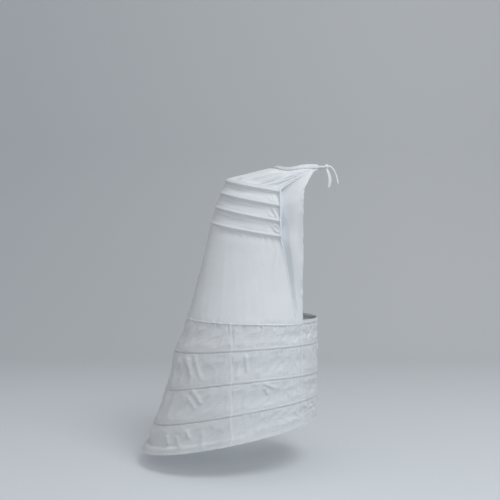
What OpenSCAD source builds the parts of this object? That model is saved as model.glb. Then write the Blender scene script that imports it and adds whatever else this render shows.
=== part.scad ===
// Bustle crinoline petticoat: cloth panels held out by flat spring steels in sewn casings.
// The origin is the middle of the waist. +X is the wearer's front, +Y the wearer's left, +Z up.

/* [Waist] */
// Half of the waist from front to back
waist_half_depth = 85; // [70:1:105]
// Half of the waist from side to side
waist_half_width = 115; // [95:1:135]
// Turn from the front centre to each end of the waistband, in degrees
waist_gap_turn = 42; // [32:1:52]
// Height of the folded waistband
waistband_h = 14; // [12:1:24]
// Width of the tape that is drawn through the waistband
waist_tape_w = 7; // [5:1:8]
// Lean of the waistband at the back, where it lies along the top of the bustle, in degrees
waist_back_lean = 68; // [40:1:75]
// How far the waistband dips behind each hip
waist_dip = 11; // [0:1:16]

/* [Hips] */
// Drop from the waist to the widest level of the hips
hip_drop = 180; // [150:1:210]
// Half of the hips from side to side
hip_half_width = 165; // [150:1:180]
// Half of the hips from front to back
hip_half_depth = 115; // [100:1:130]
// Room between the hips and the side seams
hip_ease = 3; // [1:0.5:8]
// Share of the waistband that each side panel takes, in degrees
side_panel_turn = 14; // [8:1:20]
// How far in front of the waist centre the side panels' front edges hang
side_front_x = 5; // [0:1:20]
// How far the side panels fall in beside the bustle
side_hollow = 18; // [0:1:24]

/* [Bustle] */
// Reach of each half hoop behind the waist centre, from the top one down
bustle_tip_reach = [274, 294, 313, 331]; // [220:1:400]
// Drop of each half hoop's back below the waist, from the top one down
bustle_tip_drop = [46, 90, 142, 200]; // [35:1:230]
// How much lower each half hoop's ends are than its back, from the top one down
bustle_side_fall = [48, 55, 58, 54]; // [35:1:70]
// Lean of the flat steels at the back of the bustle, in degrees
bone_back_lean = 45; // [25:1:55]
// Lean of the flat steels at their ends, in degrees
bone_end_lean = 20; // [5:1:30]
// Distance of the bustle's side seams behind the waist centre
side_seam_x = 74; // [60:1:95]
// Width of a half hoop's flat steel
bone_w = 6; // [5:0.5:9]
// Height of the gathers in the top panel
gather_h = 4; // [0:0.5:6]
// Width of the tie tapes across the inside of the bustle
tie_tape_w = 15; // [8:1:25]
// How far the tie tapes bow back behind the side seams
tie_tape_bow = 50; // [30:1:80]

/* [Skirt] */
// Reach of the top hoop behind the waist centre
tube_back_reach = 417; // [370:1:460]
// Drop of the top hoop's back below the waist
tube_back_drop = 558; // [500:1:600]
// Drop of the top hoop's front below the waist
tube_front_drop = 570; // [520:1:620]
// Half of the top hoop from side to side
tube_half_width = 200; // [180:1:220]
// Reach of the hoops in front of the waist centre
skirt_front_reach = 66; // [60:1:95]
// Depth of each tier between two hoops at the back, from the top one down
tier_back_depth = [123, 141, 125, 100]; // [80:1:170]
// Depth of each tier between two hoops at the front, from the top one down
tier_front_depth = [77, 111, 82, 75]; // [60:1:140]
// How much further back each hoop reaches than the one above it
tier_back_flare = [47, 34, 44, 42]; // [0:1:80]
// How much each hoop's sides rise above its middle, more than on the hoop above it
tier_side_lift = [11, 15, -6, -10]; // [-20:1:20]
// How much further out each hoop's sides lie than those of the hoop above it
tier_side_flare = 15; // [0:1:25]
// How much the cloth is pulled in between two hoops
tier_hollow = 3; // [0:0.5:6]
// How much the cloth is pulled in at the back just above the hem
hem_hollow = 16; // [0:1:22]
// Height above the hem's hoop of that hollow
hem_hollow_h = 22; // [20:1:40]
// Place of the front seams, in front of the waist centre
front_seam_x = 0; // [-10:1:20]
// Distance of the back seams behind the waist centre
back_seam_x = 250; // [200:1:300]
// Width of the side panels where they meet the top hoop
side_panel_foot = 25; // [20:1:45]
// Width of a full hoop's flat steel
hoop_w = 5; // [4:0.5:9]
// Width of the casing tapes over the full hoops
casing_w = 13; // [12:1:24]

/* [Cloth and steel] */
// Thickness of the cloth with its seams
cloth_t = 1; // [0.6:0.1:1.3]
// Thickness of the tapes
tape_t = 1; // [0.6:0.1:1.3]
// Thickness of the flat steels
steel_t = 1; // [0.6:0.1:1.3]
// Thickness of the crimped tips and sleeves
crimp_t = 0.4; // [0.3:0.05:0.6]
// Length of a crimped tip
tip_l = 10; // [6:1:14]
// Length of a crimped sleeve
sleeve_l = 24; // [16:1:28]
// Room between layers that lie on each other
layer_gap = 0.3; // [0.2:0.05:0.4]
// Length of the knot of the waist tape
knot_l = 14; // [10:1:18]

/* [Hidden] */

COTTON = "#f1f0ec";
LAWN = "#e6eaee";
TAPE = "#e2ddd0";
STEEL = "#8e939a";

// Number of straight stretches in each curved run
front_n = 6;
side_n = 4;
back_n = 12;
bustle_n = 2 * side_n + back_n;
tie_n = 10;

// Room round a steel inside its crimped tip or sleeve
crimp_gap = layer_gap / 2;
// Cut edges that meet at a seam lie this far apart
seam_gap = 0.6;
// A half hoop's steel stops this far short of the side seams
bone_trim = 5;
last_hoop = len(tier_back_depth);
last_bone = len(bustle_tip_reach) - 1;

// Bustle tucks: middle of a pocket's walls, and of the layer sewn behind it, measured from the steel
crimp_half_t = steel_t / 2 + crimp_gap + crimp_t / 2;
pocket = crimp_half_t + crimp_t / 2 + layer_gap + cloth_t / 2;
seat = pocket + cloth_t + layer_gap;
tuck_top = bone_w / 2 + 2;
tuck_low = bone_w / 2 + 1;
tuck_fold = tuck_low + pocket;
tuck_seam = bone_w / 2 - 1;
seat_low = -1;

// Skirt layers: middle of the tape, the steel, the cloth beside it and the cloth over it
casing_out = -tape_t / 2;
hoop_out = layer_gap + crimp_half_t + crimp_t / 2;
wall_out = layer_gap + cloth_t / 2;
ridge_out = hoop_out + crimp_half_t + crimp_t / 2 + layer_gap + cloth_t / 2;
lap_out = ridge_out + cloth_t + layer_gap;
ridge_half = hoop_w / 2 + 1.2;
ridge_foot = casing_w / 2 + 0.5;
lap_top = ridge_foot + 3;
lap_low = ridge_half + 0.5;

// Waistband: room for the tape to slide in it, place of its dips, and its levels from its top edge down
band_room = 0.7;
dip_turn = 120;
dip_spread = 30;
band_top = 5.5;
band_bend = band_top - 2;
band_low = band_top - waistband_h;
band_wall = tape_t / 2 + layer_gap + band_room + cloth_t / 2;
tape_top = band_top - 2.5;
tape_low = tape_top - waist_tape_w;
panel_top = tape_low - 1.5;
panel_start = band_low - 2;

// Full hoops from the top one down
function sum_to(list, n) = n == 0 ? 0 : list[n - 1] + sum_to(list, n - 1);
hoops = [0:last_hoop];
hoop_back_x = [for (k = hoops) -tube_back_reach - sum_to(tier_back_flare, k)];
hoop_back_z = [for (k = hoops) -tube_back_drop - sum_to(tier_back_depth, k)];
hoop_front_z = [for (k = hoops) -tube_front_drop - sum_to(tier_front_depth, k)];
hoop_lift = [for (k = hoops) sum_to(tier_side_lift, k)];
hoop_half_w = [for (k = hoops) tube_half_width + k * tier_side_flare];

// Knot in front of the waist, and the tape's height there
knot_x = waist_half_depth + 19;
knot_z = 6;
knot_r = 6.5;
knot_tape_half = 3;

// Tape tails: hand-laid routes, the direction across the tape at each end, and the tape's width
tail_w = 12;
tail_right_route = [[105, -2, -1], [107, -4, -9], [111, -6, -20], [115, -7, -34], [116, -8, -50],
    [114, -8, -62], [112, -8, -74]];
tail_left_route = [[111, 2, 8], [118, 3, 7], [126, 4, 1], [134, 5, -10], [140, 5, -24],
    [145, 6, -40], [149, 6, -58]];
tail_right_across = [[0.5, 0.8, 0], [0.9, 0.4, 0.1]];
tail_left_across = [[0, 1, 0], [0.25, 0.95, 0.1]];

// Value a share s of the way from a to b
function mix(a, b, s) = a + (b - a) * s;

// Value of a list between its entries, carried on straight past both ends
function at_level(list, level) =
    let (i = min(max(floor(level), 0), len(list) - 2))
    mix(list[i], list[i + 1], level - i);

// Direction that a grid of points faces at one of them
function facing(grid, i, j, loop) =
    let (
        rows = len(grid),
        cols = len(grid[0]),
        ahead = loop ? (j + 1) % cols : min(j + 1, cols - 1),
        behind = loop ? (j + cols - 1) % cols : max(j - 1, 0),
        down = grid[min(i + 1, rows - 1)][j] - grid[max(i - 1, 0)][j],
        along = grid[i][ahead] - grid[i][behind],
        n = cross(down, along)
    )
    n / norm(n);

// Two triangles over four corners
function quad(a, b, c, d) = [[a, b, c], [a, c, d]];

// Thin sheet of cloth, tape or steel: a grid of points thickened evenly to both sides
module sheet(grid, thick, loop = false) {
    rows = len(grid);
    cols = len(grid[0]);
    spans = loop ? cols : cols - 1;
    back = rows * cols;
    outer = [for (i = [0:rows - 1], j = [0:cols - 1]) grid[i][j] + facing(grid, i, j, loop) * thick / 2];
    inner = [for (i = [0:rows - 1], j = [0:cols - 1]) grid[i][j] - facing(grid, i, j, loop) * thick / 2];
    faces_out = [for (i = [0:rows - 2], j = [0:spans - 1])
        let (a = i * cols + j, b = i * cols + (j + 1) % cols) each quad(a, b, b + cols, a + cols)];
    faces_in = [for (i = [0:rows - 2], j = [0:spans - 1])
        let (a = i * cols + j + back, b = i * cols + (j + 1) % cols + back) each quad(a, a + cols, b + cols, b)];
    edge_top = [for (j = [0:spans - 1])
        let (a = j, b = (j + 1) % cols) each quad(a, a + back, b + back, b)];
    edge_low = [for (j = [0:spans - 1])
        let (a = (rows - 1) * cols + j, b = (rows - 1) * cols + (j + 1) % cols) each quad(a, b, b + back, a + back)];
    edge_start = loop ? [] : [for (i = [0:rows - 2])
        let (a = i * cols, b = a + cols) each quad(a, b, b + back, a + back)];
    edge_end = loop ? [] : [for (i = [0:rows - 2])
        let (a = i * cols + cols - 1, b = a + cols) each quad(a, a + back, b + back, b)];
    polyhedron(
        points = concat(outer, inner),
        faces = concat(faces_out, faces_in, edge_top, edge_low, edge_start, edge_end));
}

// Section of a crimped strip round a flat steel, as offsets from the steel's middle, open at its back
function crimp_section(width) =
    let (h = width / 2 + crimp_gap + crimp_t / 2, t = crimp_half_t, lip = width / 8)
    [[-t, lip], [-t, h], [t, h], [t, -h], [-t, -h], [-t, -lip]];

// Point of the waist's layers, which lean back along the bustle, a given distance outside the drawn tape
function waist_point(turn, out, z) =
    let (
        from_front = acos(cos(turn)),
        upright_end = waist_gap_turn + side_panel_turn,
        lean = waist_back_lean * max(0, from_front - upright_end) / (180 - upright_end),
        below = band_top - z,
        r = out * cos(lean) + below * sin(lean),
        dip = waist_dip * exp(-pow((from_front - dip_turn) / dip_spread, 2))
    )
    [(waist_half_depth + r) * cos(turn), (waist_half_width + r) * sin(turn),
        band_top - below * cos(lean) + out * sin(lean) - dip];

// Share of the swell from waist to hips that is reached at a height, and the hips there
function hip_share(z) = sin(90 * min(1, max(0, -z / hip_drop)));
function hip_width(z) = mix(waist_half_width, hip_half_width, hip_share(z)) + hip_ease;
function hip_depth(z) = mix(waist_half_depth, hip_half_depth, hip_share(z)) + hip_ease;
function hip_side(x, z) = hip_width(z) * sqrt(1 - pow(x / hip_depth(z), 2));

// Half hoop of the bustle: turn 0 is its back, -90 its right end and 90 its left end
bone_fall_bend = 0.72;
function bone_end_z(k) = -bustle_tip_drop[k] - bustle_side_fall[k];
function bone_half_w(k) = hip_width(bone_end_z(k));
function bone_point(k, turn) = [
    -side_seam_x - (bustle_tip_reach[k] - side_seam_x) * cos(turn),
    bone_half_w(k) * sin(turn),
    -bustle_tip_drop[k] - bustle_side_fall[k] * pow(1 - cos(turn), bone_fall_bend)];
function bone_facing(k, turn) =
    let (n = [-bone_half_w(k) * cos(turn), (bustle_tip_reach[k] - side_seam_x) * sin(turn), 0])
    n / norm(n);
function tuck_point(k, turn, out, up) =
    let (lean = mix(bone_end_lean, bone_back_lean, cos(turn)))
    bone_point(k, turn)
        + (out * cos(lean) - up * sin(lean)) * bone_facing(k, turn)
        + [0, 0, out * sin(lean) + up * cos(lean)];
bustle_turns = [for (j = [0:bustle_n]) mix(-90, 90, j / bustle_n)];

// Line along a half hoop's steel, at a distance out and up from its middle, with its ends trimmed
function bone_line(k, out, up) =
    let (
        line = [for (turn = bustle_turns) tuck_point(k, turn, out, up)],
        s = bone_trim / norm(line[1] - line[0])
    )
    [for (j = [0:bustle_n])
        j == 0 ? mix(line[0], line[1], s)
        : j == bustle_n ? mix(line[bustle_n], line[bustle_n - 1], s)
        : line[j]];

// Lower edge of a bustle panel, folded round its steel and sewn up behind it
tuck_path = [[pocket, tuck_top], [pocket, -tuck_low], [0, -tuck_fold], [-pocket, -tuck_low],
    [-pocket, tuck_seam]];
function tuck_rows(k) = [for (p = tuck_path) [for (turn = bustle_turns) tuck_point(k, turn, p[0], p[1])]];

// Upper edge of a panel sewn behind a tuck
function seat_rows(k) = [for (up = [tuck_seam, seat_low])
    [for (turn = bustle_turns) tuck_point(k, turn, -seat, up)]];

// Top panel rows between the waistband and the first tuck: share of the way and share of the gathers
gather_rows = [[0.12, 1], [0.35, 1.1], [0.68, 0.5]];
hip_bulge = 16;
top_arch = 1;
function top_turn(turn) = mix(180, waist_gap_turn + side_panel_turn, abs(turn) / 90) * (turn < 0 ? -1 : 1);
function top_swell(turn, s) =
    4 * s * (1 - s) * (hip_bulge * pow(sin(turn), 2) * bone_facing(0, turn) + [0, 0, top_arch * pow(cos(turn), 2)]);
function top_between(turn, s) =
    mix(waist_point(top_turn(turn), 0, panel_start), tuck_point(0, turn, pocket, tuck_top), s) + top_swell(turn, s);
waist_turns = concat(
    [waist_gap_turn],
    [for (j = [bustle_n:-1:0]) (top_turn(bustle_turns[j]) + 360) % 360],
    [360 - waist_gap_turn]);
function gather_side(j) = (j == 0 || j == bustle_n) ? 0 : (j % 2 == 0 ? 1 : -1);
function top_rows() = concat(
    [for (z = [panel_top, panel_start]) [for (turn = bustle_turns) waist_point(top_turn(turn), 0, z)]],
    [for (g = gather_rows) [for (j = [0:bustle_n])
        top_between(bustle_turns[j], g[0]) + [0, 0, gather_h * g[1] * gather_side(j)]]],
    tuck_rows(0));

// Full hoops and the wall of the skirt: turn 0 is the front centre, 90 the left side, 180 the back
function ring_mid(level) = (at_level(hoop_back_x, level) + skirt_front_reach) / 2;
function ring_half(level) = (skirt_front_reach - at_level(hoop_back_x, level)) / 2;
function turn_at(level, x) = acos((x - ring_mid(level)) / ring_half(level));
function skirt_point(level, turn, out) = [
    ring_mid(level) + (ring_half(level) + out) * cos(turn),
    (at_level(hoop_half_w, level) + out) * sin(turn),
    mix(at_level(hoop_front_z, level), at_level(hoop_back_z, level), (1 - cos(turn)) / 2)
        + at_level(hoop_lift, level) * pow(sin(turn), 2)];

// Way down the wall past a hoop for each unit of drop, and a point beside the hoop on that line
function wall_step(k, turn) =
    let (way = skirt_point(min(k + 1, last_hoop), turn, 0) - skirt_point(max(k - 1, 0), turn, 0))
    way / -way[2];
function wall_point(k, drop, turn, out) = skirt_point(k, turn, out) + drop * wall_step(k, turn);

// Turns of the upright lines that the skirt panels, hoops and tapes share at a level
function seam_turn(level) = seam_gap / 2 / at_level(hoop_half_w, level) * 180 / PI;
function front_turns(level, gap) =
    let (end = turn_at(level, front_seam_x) - gap)
    [for (j = [0:front_n]) mix(-end, end, j / front_n)];
function side_turns(level, gap) =
    let (
        foot = turn_at(level, front_seam_x - side_panel_foot),
        end = turn_at(level, -back_seam_x) - gap
    )
    concat([turn_at(level, front_seam_x) + gap], [for (j = [0:side_n]) mix(foot, end, j / side_n)]);
function back_turns(level, gap) =
    let (start = turn_at(level, -back_seam_x) + gap)
    [for (j = [0:back_n]) mix(start, 360 - start, j / back_n)];
function ring_turns(level) =
    let (side = side_turns(level, 0))
    concat(
        front_turns(level, 0),
        [for (j = [1:side_n + 1]) side[j]],
        [for (j = [1:back_n]) back_turns(level, 0)[j]],
        [for (j = [side_n:-1:1]) 360 - side[j]]);

// Rows of the skirt's wall: hoop or middle of a tier, drop below it, distance out, and pull at the back
function ridge_rows(k) = [[k, -ridge_foot, wall_out, 0], [k, -ridge_half, ridge_out, 0],
    [k, ridge_half, ridge_out, 0], [k, ridge_foot, wall_out, 0]];
hem_row = [last_hoop, -hem_hollow_h, wall_out, hem_hollow];
skirt_rows = [for (k = hoops)
    each k < last_hoop ? concat(ridge_rows(k), [[k + 0.5, 0, wall_out - tier_hollow, 0]])
    : concat([hem_row], ridge_rows(k))];
function back_share(turn) = pow((1 - cos(turn)) / 2, 3);

// Back panel from the last tuck down to the top hoop, from the right side to the left
lap_turns =
    let (side = side_turns(0, 0), back = back_turns(0, 0))
    concat(
        [for (j = [1:side_n]) 360 - side[j]],
        [for (j = [0:back_n]) 360 - back[j]],
        [for (j = [side_n:-1:1]) side[j]]);
back_shares = [0.25, 0.5, 0.75];
back_hollow = 4;
function lap_point(turn, drop) = wall_point(0, drop, turn, lap_out);
function back_between(j, s) =
    mix(tuck_point(last_bone, bustle_turns[j], -seat, seat_low), lap_point(lap_turns[j], -lap_top), s)
    - 4 * s * (1 - s) * back_hollow * bone_facing(last_bone, bustle_turns[j]);
function back_rows() = concat(
    seat_rows(last_bone),
    [for (s = back_shares) [for (j = [0:bustle_n]) back_between(j, s)]],
    [for (drop = [-lap_top, lap_low]) [for (turn = lap_turns) lap_point(turn, drop)]]);

// Side panel of the left side: its rear edge follows the bustle and the back panel, its front edge the hip
side_reach = 60;
side_reach_drop = 115;
seam_step = [seam_gap, 0, 0];
foot_turn = turn_at(0, front_seam_x - side_panel_foot + seam_gap);
waist_step = seam_gap / waist_half_width * 180 / PI;
side_rear = concat(
    [for (z = [panel_top, panel_start]) waist_point(top_turn(90) - waist_step, 0, z)],
    [for (g = gather_rows) top_between(90, g[0]) + seam_step],
    [for (k = [0:last_bone]) tuck_point(k, 90, -seat, 0) + seam_step],
    [for (s = back_shares) back_between(bustle_n, s) + seam_step],
    [for (drop = [-lap_top, lap_low]) lap_point(foot_turn, drop)]);
function side_front_edge(z) =
    let (
        low = lap_point(turn_at(0, front_seam_x), -lap_top),
        below = min(1, max(0, (-z - hip_drop) / (-low[2] - hip_drop))),
        x = side_front_x + side_reach * pow(max(0, 1 + z / side_reach_drop), 1.6)
    )
    [mix(x, low[0], below), mix(hip_side(x, max(z, -hip_drop)), low[1], below), z];
side_front = [for (i = [0:len(side_rear) - 1])
    i < 2 ? waist_point(waist_gap_turn + waist_step, 0, side_rear[i][2])
    : i < len(side_rear) - 2 ? side_front_edge(side_rear[i][2])
    : lap_point(turn_at(0, front_seam_x), i < len(side_rear) - 1 ? -lap_top : lap_low)];
side_fold = [0, 0.25, 0.6, 1, 0];
function side_rows() =
    let (top = side_rear[1][2], low = side_rear[len(side_rear) - 2][2])
    [for (i = [0:len(side_rear) - 1])
        let (
            way = (side_rear[i][2] - top) / (low - top),
            depth = side_hollow * sin(180 * min(1, max(0, way)))
        )
        [for (j = [0:len(side_fold) - 1])
            mix(side_front[i], side_rear[i], j / (len(side_fold) - 1)) - [0, depth * side_fold[j], 0]]];

// Hoop joint: the hoop's ends meet in the middle of one straight stretch on the left side
joint_at = front_n + 2;
joint_gap = 1;
function ring_line(k, drop, out) = [for (turn = ring_turns(k)) wall_point(k, drop, turn, out)];
function joint_pair(line, length) =
    let (a = line[joint_at], b = line[joint_at + 1], s = length / 2 / norm(b - a))
    [mix(a, b, 0.5 - s), mix(a, b, 0.5 + s)];
function hoop_line(k, drop) =
    let (line = ring_line(k, drop, hoop_out), n = len(line), ends = joint_pair(line, joint_gap))
    concat([ends[1]], [for (j = [1:n]) line[(joint_at + j) % n]], [ends[0]]);

// Flat tape along a hand-laid route, turning evenly from one direction across it to another
function tail_rows(route, across) = [for (i = [0:len(route) - 1])
    let (a = mix(across[0], across[1], i / (len(route) - 1)))
    [for (s = [-0.5, 0, 0.5]) route[i] + s * tail_w * a / norm(a)]];

// Folded casing round the back and sides of the waist
module waistband() {
    path = [[band_wall, band_low], [band_wall, band_bend], [0, band_top], [-band_wall, band_bend],
        [-band_wall, band_low]];
    color(COTTON)
        sheet([for (p = path) [for (turn = waist_turns) waist_point(turn, p[0], p[1])]], cloth_t);
}

// Tape drawn through the waistband, with its two ends drawn forward to the knot
module waist_tape() {
    color(TAPE)
        sheet([for (s = [1, -1])
            let (
                z = s > 0 ? tape_top : tape_low,
                end_z = knot_z + s * knot_tape_half,
                end_y = knot_l / 2 + layer_gap
            )
            concat(
                [[knot_x, end_y, end_z]],
                [for (turn = waist_turns) waist_point(turn, 0, z)],
                [[knot_x, -end_y, end_z]])],
            tape_t);
}

// Knot of the waist tape: a rounded barrel with one turn of tape over its middle
module tie_knot() {
    round_r = knot_r - 2;
    color(TAPE)
        translate([knot_x, 0, knot_z])
            rotate([90, 0, 0])
                rotate_extrude($fn = 48) {
                    hull() {
                        translate([0, -knot_l / 2])
                            square([2, knot_l]);
                        translate([round_r - 2, -knot_l / 2 + 2])
                            intersection() {
                                circle(r = 2, $fn = 24);
                                translate([0, -2])
                                    square([2, 4]);
                            }
                        translate([round_r - 2, knot_l / 2 - 2])
                            intersection() {
                                circle(r = 2, $fn = 24);
                                translate([0, -2])
                                    square([2, 4]);
                            }
                    }
                    translate([round_r, 0])
                        circle(r = 2, $fn = 24);
                }
}

// Free tail of the waist tape on the right
module tie_tail_right() {
    color(TAPE)
        sheet(tail_rows(tail_right_route, tail_right_across), tape_t);
}

// Free tail of the waist tape on the left
module tie_tail_left() {
    color(TAPE)
        sheet(tail_rows(tail_left_route, tail_left_across), tape_t);
}

// Gathered panel from the waistband to the first half hoop
module bustle_top_panel() {
    color(COTTON)
        sheet(top_rows(), cloth_t);
}

// Tier between two half hoops, sewn behind the upper tuck and folded round the lower steel
module bustle_tier(k) {
    seat_edge = seat_rows(k - 1);
    tuck = tuck_rows(k);
    middle = [for (j = [0:bustle_n])
        mix(seat_edge[1][j], tuck[0][j], 0.5) - bone_facing(k, bustle_turns[j])];
    color(COTTON)
        sheet(concat(seat_edge, [middle], tuck), cloth_t);
}

// Flat spring steel of a half hoop
module bustle_bone(k) {
    color(STEEL)
        sheet([for (up = [bone_w / 2, -bone_w / 2]) bone_line(k, 0, up)], steel_t);
}

// Crimped tips on both ends of every half hoop
module bone_tips() {
    color(STEEL)
        for (k = [0:last_bone], end = [0, bustle_n - 1])
            sheet([for (p = crimp_section(bone_w))
                let (
                    line = bone_line(k, p[0], p[1]),
                    s = tip_l / norm(line[end + 1] - line[end])
                )
                end == 0 ? [line[0], mix(line[0], line[1], s)]
                : [mix(line[bustle_n], line[bustle_n - 1], s), line[bustle_n]]], crimp_t);
}

// Tape across the inside of the bustle that keeps a half hoop bowed
module tie_tape(k) {
    half_w = bone_half_w(k) - (seat + cloth_t / 2) * cos(bone_end_lean) - tuck_seam * sin(bone_end_lean)
        - layer_gap - tape_t / 2;
    turns = [for (j = [0:tie_n]) mix(-90, 90, j / tie_n)];
    color(TAPE)
        sheet([for (z = [tie_tape_w / 2, -tie_tape_w / 2]) [for (turn = turns)
            [-side_seam_x - tie_tape_bow * cos(turn), half_w * sin(turn), bone_end_z(k) + z]]], tape_t);
}

// Panel from the last half hoop down to the top of the skirt
module back_panel() {
    color(COTTON)
        sheet(back_rows(), cloth_t);
}

// Panel from the waistband over the hip to the top of the skirt
module side_panel_left() {
    color(COTTON)
        sheet(side_rows(), cloth_t);
}

module side_panel_right() {
    mirror([0, 1, 0])
        side_panel_left();
}

// Grid of a skirt panel, whose upright lines are given for each row by their set of turns
function skirt_grid(sets) = [for (i = [0:len(skirt_rows) - 1])
    let (row = skirt_rows[i])
    [for (turn = sets[i]) wall_point(row[0], row[1], turn, row[2] - row[3] * back_share(turn))]];

// Front of the skirt between the front seams
module skirt_front_panel() {
    color(LAWN)
        sheet(skirt_grid([for (row = skirt_rows) front_turns(row[0], seam_turn(row[0]))]), cloth_t);
}

// Side of the skirt between its front and back seams
module skirt_side_panel_left() {
    color(LAWN)
        sheet(skirt_grid([for (row = skirt_rows) side_turns(row[0], seam_turn(row[0]))]), cloth_t);
}

module skirt_side_panel_right() {
    mirror([0, 1, 0])
        skirt_side_panel_left();
}

// Back of the skirt between the back seams
module skirt_back_panel() {
    color(LAWN)
        sheet(skirt_grid([for (row = skirt_rows) back_turns(row[0], seam_turn(row[0]))]), cloth_t);
}

// Flat spring steel of a full hoop
module skirt_hoop(k) {
    color(STEEL)
        sheet([for (drop = [-hoop_w / 2, hoop_w / 2]) hoop_line(k, drop)], steel_t);
}

// Crimped sleeve that joins the two ends of a full hoop
module hoop_sleeve(k) {
    color(STEEL)
        sheet([for (p = crimp_section(hoop_w)) joint_pair(ring_line(k, -p[1], hoop_out + p[0]), sleeve_l)], crimp_t);
}

// Tape sewn over a full hoop on the inside of the skirt
module hoop_casing(k) {
    color(TAPE)
        sheet([for (drop = [-casing_w / 2, casing_w / 2]) ring_line(k, drop, casing_out)], tape_t, loop = true);
}

waistband();
waist_tape();
tie_knot();
tie_tail_right();
tie_tail_left();
bustle_top_panel();
bustle_tier(1);  // bustle_tier_1
bustle_tier(2);  // bustle_tier_2
bustle_tier(3);  // bustle_tier_3
bustle_bone(0);  // bustle_bone_1
bustle_bone(1);  // bustle_bone_2
bustle_bone(2);  // bustle_bone_3
bustle_bone(3);  // bustle_bone_4
bone_tips();
tie_tape(0);  // tie_tape_1
tie_tape(1);  // tie_tape_2
tie_tape(2);  // tie_tape_3
tie_tape(3);  // tie_tape_4
back_panel();
side_panel_right();
side_panel_left();
skirt_front_panel();
skirt_side_panel_right();
skirt_side_panel_left();
skirt_back_panel();
skirt_hoop(0);  // skirt_hoop_1
skirt_hoop(1);  // skirt_hoop_2
skirt_hoop(2);  // skirt_hoop_3
skirt_hoop(3);  // skirt_hoop_4
skirt_hoop(4);  // skirt_hoop_5
hoop_sleeve(0);  // hoop_sleeve_1
hoop_sleeve(1);  // hoop_sleeve_2
hoop_sleeve(2);  // hoop_sleeve_3
hoop_sleeve(3);  // hoop_sleeve_4
hoop_sleeve(4);  // hoop_sleeve_5
hoop_casing(0);  // hoop_casing_1
hoop_casing(1);  // hoop_casing_2
hoop_casing(2);  // hoop_casing_3
hoop_casing(3);  // hoop_casing_4
hoop_casing(4);  // hoop_casing_5
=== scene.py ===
"""Dresses the bustle crinoline petticoat and sets it in a plain studio.

The frame is the part's own: the origin is the middle of the waist, +X is the wearer's front,
+Y the wearer's left and +Z up. Sizes here are millimetres, and meshes are written in metres.
"""

import logging
import math
from dataclasses import dataclass, field
from enum import Enum
from typing import Sequence

import bmesh
import bpy
import numpy as np
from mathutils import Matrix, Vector


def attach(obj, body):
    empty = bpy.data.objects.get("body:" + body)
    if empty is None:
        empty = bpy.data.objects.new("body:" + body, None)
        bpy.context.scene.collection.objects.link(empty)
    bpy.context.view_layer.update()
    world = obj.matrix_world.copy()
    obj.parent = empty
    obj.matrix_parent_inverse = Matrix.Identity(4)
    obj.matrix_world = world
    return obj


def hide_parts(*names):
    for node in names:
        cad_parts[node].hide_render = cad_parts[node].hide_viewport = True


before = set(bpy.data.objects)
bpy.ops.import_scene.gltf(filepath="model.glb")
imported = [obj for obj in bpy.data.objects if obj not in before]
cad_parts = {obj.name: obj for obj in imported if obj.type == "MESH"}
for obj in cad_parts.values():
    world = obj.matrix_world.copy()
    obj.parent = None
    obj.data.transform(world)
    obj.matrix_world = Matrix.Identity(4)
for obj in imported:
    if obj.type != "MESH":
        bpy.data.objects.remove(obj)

Array = np.ndarray
Line = tuple[Array, Array]
Pair = tuple[float, float]
Point = tuple[float, float, float]
Tone = tuple[float, float, float]
Values = tuple[float, ...]
Sockets = dict[str | int, object]
LOG = logging.getLogger("petticoat")
MM = 0.001
BODY = "root"
SHARP_EDGE = math.radians(60.0)
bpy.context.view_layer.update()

# Places in plan that the outer faces of the sheets look away from.
HIP_MIDDLE = (-40.0, 0.0)
BUSTLE_MIDDLE = (-100.0, 0.0)
BACK_MIDDLE = (-150.0, 0.0)
SKIRT_MIDDLE = (-240.0, 0.0)

# Height of the stitches' middle over the cotton and over the lawn.
COTTON_LIFT = 0.05
LAWN_LIFT = 0.03


class Side(Enum):
    """Side of the wearer, by the sign of Y."""

    RIGHT = -1
    LEFT = 1

    @property
    def word(self) -> str:
        """The side's word in the names of pieces."""
        return self.name.lower()


class Hold(Enum):
    """How a cut of cloth is held in the finished garment."""

    GATHERED = "gathered"
    FOLDED = "folded"
    STRETCHED = "stretched"
    HUNG = "hung"


def cosd(turn: Array) -> Array:
    """Cosine of a turn in degrees."""
    return np.cos(np.radians(turn))


def sind(turn: Array) -> Array:
    """Sine of a turn in degrees."""
    return np.sin(np.radians(turn))


def mix(start: Array, end: Array, share: Array) -> Array:
    """Value a share of the way from start to end."""
    return start + (end - start) * share


def ease(share: Array) -> Array:
    """Share from 0 to 1 that starts and stops gently."""
    held = np.clip(share, 0.0, 1.0)
    return held * held * (3.0 - 2.0 * held)


def rise(value: Array, start: float, length: float) -> Array:
    """Share that grows gently from 0 at a start to 1 a length further on."""
    return ease((value - start) / length)


def deeper(z: Array, start: float, length: float) -> Array:
    """Share that grows gently from 0 at a depth below the waist to 1 a length further down."""
    return rise(-z, start, length)


def bell(distance: Array, width: Array) -> Array:
    """Rounded bump of height 1 that has died away at about twice the width."""
    return np.exp(-np.square(distance / width))


def unit(vectors: Array) -> Array:
    """Vectors scaled to length 1."""
    return vectors / np.maximum(np.linalg.norm(vectors, axis=-1, keepdims=True), 1e-12)


def place(x: Array, y: Array, z: Array) -> Array:
    """Points from their three coordinates, which may differ in shape."""
    return np.stack(np.broadcast_arrays(x, y, z), axis=-1).astype(float)


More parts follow.
